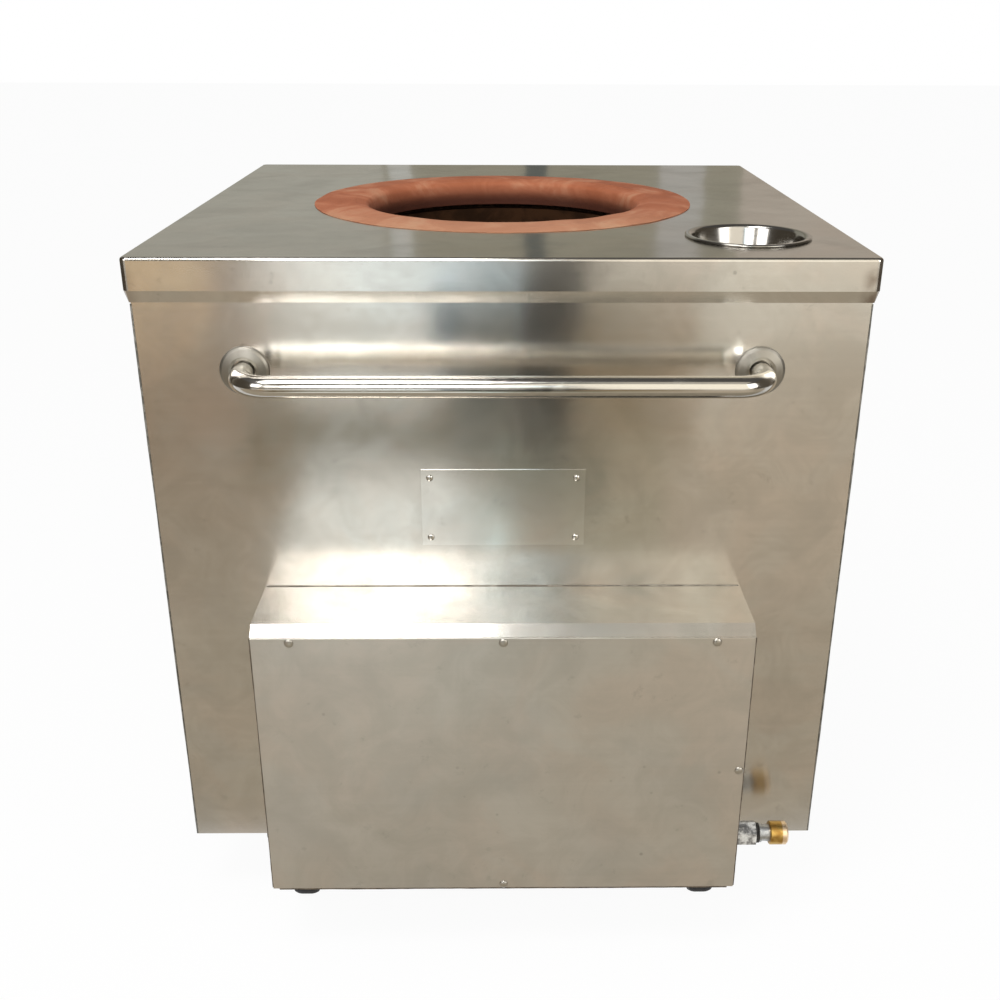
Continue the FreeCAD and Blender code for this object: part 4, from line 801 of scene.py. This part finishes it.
# Level cards: height, then y and the x range of the far and of the near edge.
for name, height, (far, far_left, far_right), (near, near_left, near_right), tint, strength in (
    ("tan_floor", 0.01, (-3.3, -3.0, 3.0), (-1.3, -3.0, 3.0), (0.52, 0.44, 0.34), 1.0),
    ("near_floor", 0.01, (-1.3, -2.6, 2.6), (-0.5, -2.6, 2.6), (0.56, 0.49, 0.385), 1.0),
    ("far_floor", 0.01, (-6.5, -4.0, 4.0), (-3.3, -4.0, 4.0), (0.90, 0.86, 0.76), 1.0),
    ("pale_floor", 0.012, (-3.3, -0.80, -0.20), (-2.0, -0.52, -0.12), (1.0, 1.01, 0.97), 1.0),
    ("glow_floor", 0.012, (-2.0, -0.53, -0.12), (-1.3, -0.50, 0.0), (1.0, 1.03, 1.0), 1.45),
    ("blue_floor", 0.014, (-1.7, -0.09, 0.0), (-1.3, -0.06, 0.035), (1.25, 1.5, 1.5), 1.0),
    ("mid_floor", 0.012, (-2.2, 0.16, 0.45), (-1.3, 0.12, 0.36), (0.60, 0.55, 0.42), 1.0),
    ("far_glow", 0.016, (-6.2, -1.5, -0.93), (-4.45, -1.1, -0.71), (2.1, 2.2, 2.2), 1.0),
    ("far_sheen", 0.016, (-6.2, -0.93, -0.33), (-4.45, -0.71, -0.25), (2.5, 2.9, 3.1), 1.0),
    ("far_grey", 0.016, (-6.2, 0.10, 0.56), (-4.2, 0.07, 0.38), (0.20, 0.21, 0.19), 1.0),
    ("far_tan", 0.016, (-6.5, -2.8, -1.93), (-4.2, -2.35, -1.34), (1.3, 0.98, 0.60), 1.0),
    ("far_dip", 0.016, (-6.5, -1.93, -1.62), (-3.4, -1.13, -0.95), (0.45, 0.38, 0.32), 1.0),
    ("far_right", 0.016, (-6.5, 1.4, 3.0), (-4.2, 1.0, 2.2), (1.25, 1.15, 0.97), 1.0),
    ("ceiling_lamp", 3.3, (-0.8, -0.9, -0.1), (-0.2, -0.9, -0.1), (1.0, 1.0, 0.97), 2.6),
    ("ceiling_right", 3.3, (-2.7, 0.4, 2.0), (-1.4, 0.4, 2.0), (1.0, 0.95, 0.84), 0.75),
    ("ceiling_middle", 3.3, (-2.7, 0.0, 0.4), (-1.4, 0.0, 0.4), (0.32, 0.33, 0.29), 1.0),
    ("dark_floor_left", 0.014, (-3.3, -3.0, -0.85), (-2.2, -3.0, -0.75), (0.35, 0.265, 0.19), 1.0),
    ("pale_floor_right", 0.014, (-3.3, 0.55, 2.0), (-1.3, 0.36, 1.6), (0.73, 0.63, 0.50), 1.0),
    ("far_brown", 0.014, (-6.5, -2.6, -1.6), (-3.4, -2.2, -1.15), (0.84, 0.65, 0.44), 1.0),
    ("far_blue", 0.014, (-6.5, -0.37, 0.1), (-3.4, -0.22, 0.06), (0.72, 0.92, 1.05), 1.0),
    ("dark_ceiling", 3.4, (-6.0, -6.0, 6.0), (6.0, -6.0, 6.0), (0.12, 0.115, 0.11), 1.0),
):
    far_edge = [(far_left, far, height), (far_right, far, height)]
    near_edge = [(near_right, near, height), (near_left, near, height)]
    card(name, far_edge + near_edge, tint, strength)

# Upright cards across the room: y, then the x range and the z range.
for name, away, (left, right), (low, high), tint, strength in (
    ("window", -2.8, (-0.80, -0.12), (1.35, 2.3), (1.0, 1.0, 1.0), 8.0),
    ("window_edge", -2.8, (-0.12, 0.12), (1.35, 2.3), (0.80, 0.96, 1.06), 3.4),
    ("front_wall_left", -2.9, (-3.0, -0.75), (0.6, 3.4), (0.30, 0.26, 0.20), 1.0),
    ("front_wall_middle", -2.9, (-0.75, 0.0), (1.0, 3.4), (0.30, 0.26, 0.20), 1.0),
    ("front_wall_right", -2.9, (0.0, 3.0), (0.6, 3.4), (1.0, 0.94, 0.82), 1.75),
    ("dark_door", -2.75, (0.13, 0.25), (1.1, 2.4), (0.02, 0.02, 0.02), 1.0),
    ("dark_sill", -2.75, (0.05, 0.3), (0.42, 1.1), (0.20, 0.195, 0.17), 1.0),
    ("dark_stand", -1.15, (0.025, 0.13), (0.4, 0.75), (0.045, 0.045, 0.04), 1.0),
    ("low_stand", -1.15, (-0.02, 0.2), (0.25, 0.4), (0.34, 0.33, 0.26), 1.0),
    ("grey_stand", -1.15, (-0.085, 0.02), (0.38, 0.69), (0.15, 0.155, 0.13), 1.0),
    ("brown_stand", -1.15, (0.13, 0.27), (0.4, 0.68), (0.40, 0.31, 0.20), 1.0),
    ("tan_door", -1.15, (0.27, 0.36), (0.4, 0.68), (0.46, 0.37, 0.26), 1.0),
    ("blue_stand", -1.15, (-0.125, -0.085), (0.54, 0.72), (0.08, 0.15, 0.21), 1.0),
    ("tan_stand", -1.16, (-0.5, -0.03), (0.35, 0.485), (0.12, 0.085, 0.02), 1.0),
    ("top_stand", -1.14, (0.07, 0.16), (0.6, 0.76), (0.05, 0.05, 0.045), 1.0),
    ("grey_wall", 2.6, (-3.0, 3.0), (0.0, 3.4), (0.345, 0.325, 0.255), 1.0),
    ("pale_left", 2.56, (-3.0, -0.42), (0.3, 3.4), (0.47, 0.46, 0.40), 1.0),
    ("pale_back", 2.55, (0.85, 3.0), (0.3, 3.4), (0.52, 0.46, 0.39), 1.0),
    ("dark_strip", 2.55, (0.08, 0.155), (0.3, 3.4), (0.13, 0.14, 0.13), 1.0),
    ("left_strip", 2.55, (-0.4, -0.32), (0.3, 3.4), (0.56, 0.56, 0.52), 1.0),
    ("pale_strip", 2.55, (0.56, 0.72), (0.3, 3.4), (0.48, 0.465, 0.43), 1.0),
):
    low_edge = [(left, away, low), (right, away, low)]
    high_edge = [(right, away, high), (left, away, high)]
    card(name, low_edge + high_edge, tint, strength)

room_front = -2.9
room_back = 2.6
room_top = 3.4
for name, side, tint in (
    ("side_wall_left", -3.0, (0.10, 0.085, 0.065)),
    ("side_wall_right", 3.0, (0.13, 0.11, 0.085)),
):
    low_edge = [(side, room_front, 0.0), (side, room_back, 0.0)]
    high_edge = [(side, room_back, room_top), (side, room_front, room_top)]
    card(name, low_edge + high_edge, tint)


# The camera stands in front, above the worktop, and looks down at the cabinet.
camera_place = (-0.0013, -1.687, 1.169)
camera_pitch = math.radians(22.86)
camera_yaw = math.radians(-0.75)
camera_roll = math.radians(0.22)
turn = Matrix.Rotation(camera_yaw, 3, "Z") @ Matrix.Rotation(math.pi / 2 - camera_pitch, 3, "X")
view = bpy.data.cameras.new("camera")
view.sensor_width = 36.0
view.lens = 41.84
view.shift_x = -0.0162
view.shift_y = 0.0019
camera = bpy.data.objects.new("camera", view)
camera.location = camera_place
camera.rotation_euler = (turn @ Matrix.Rotation(camera_roll, 3, "Z")).to_euler()
bpy.context.scene.collection.objects.link(camera)
bpy.context.scene.camera = camera

bpy.context.scene.view_settings.view_transform = "Standard"
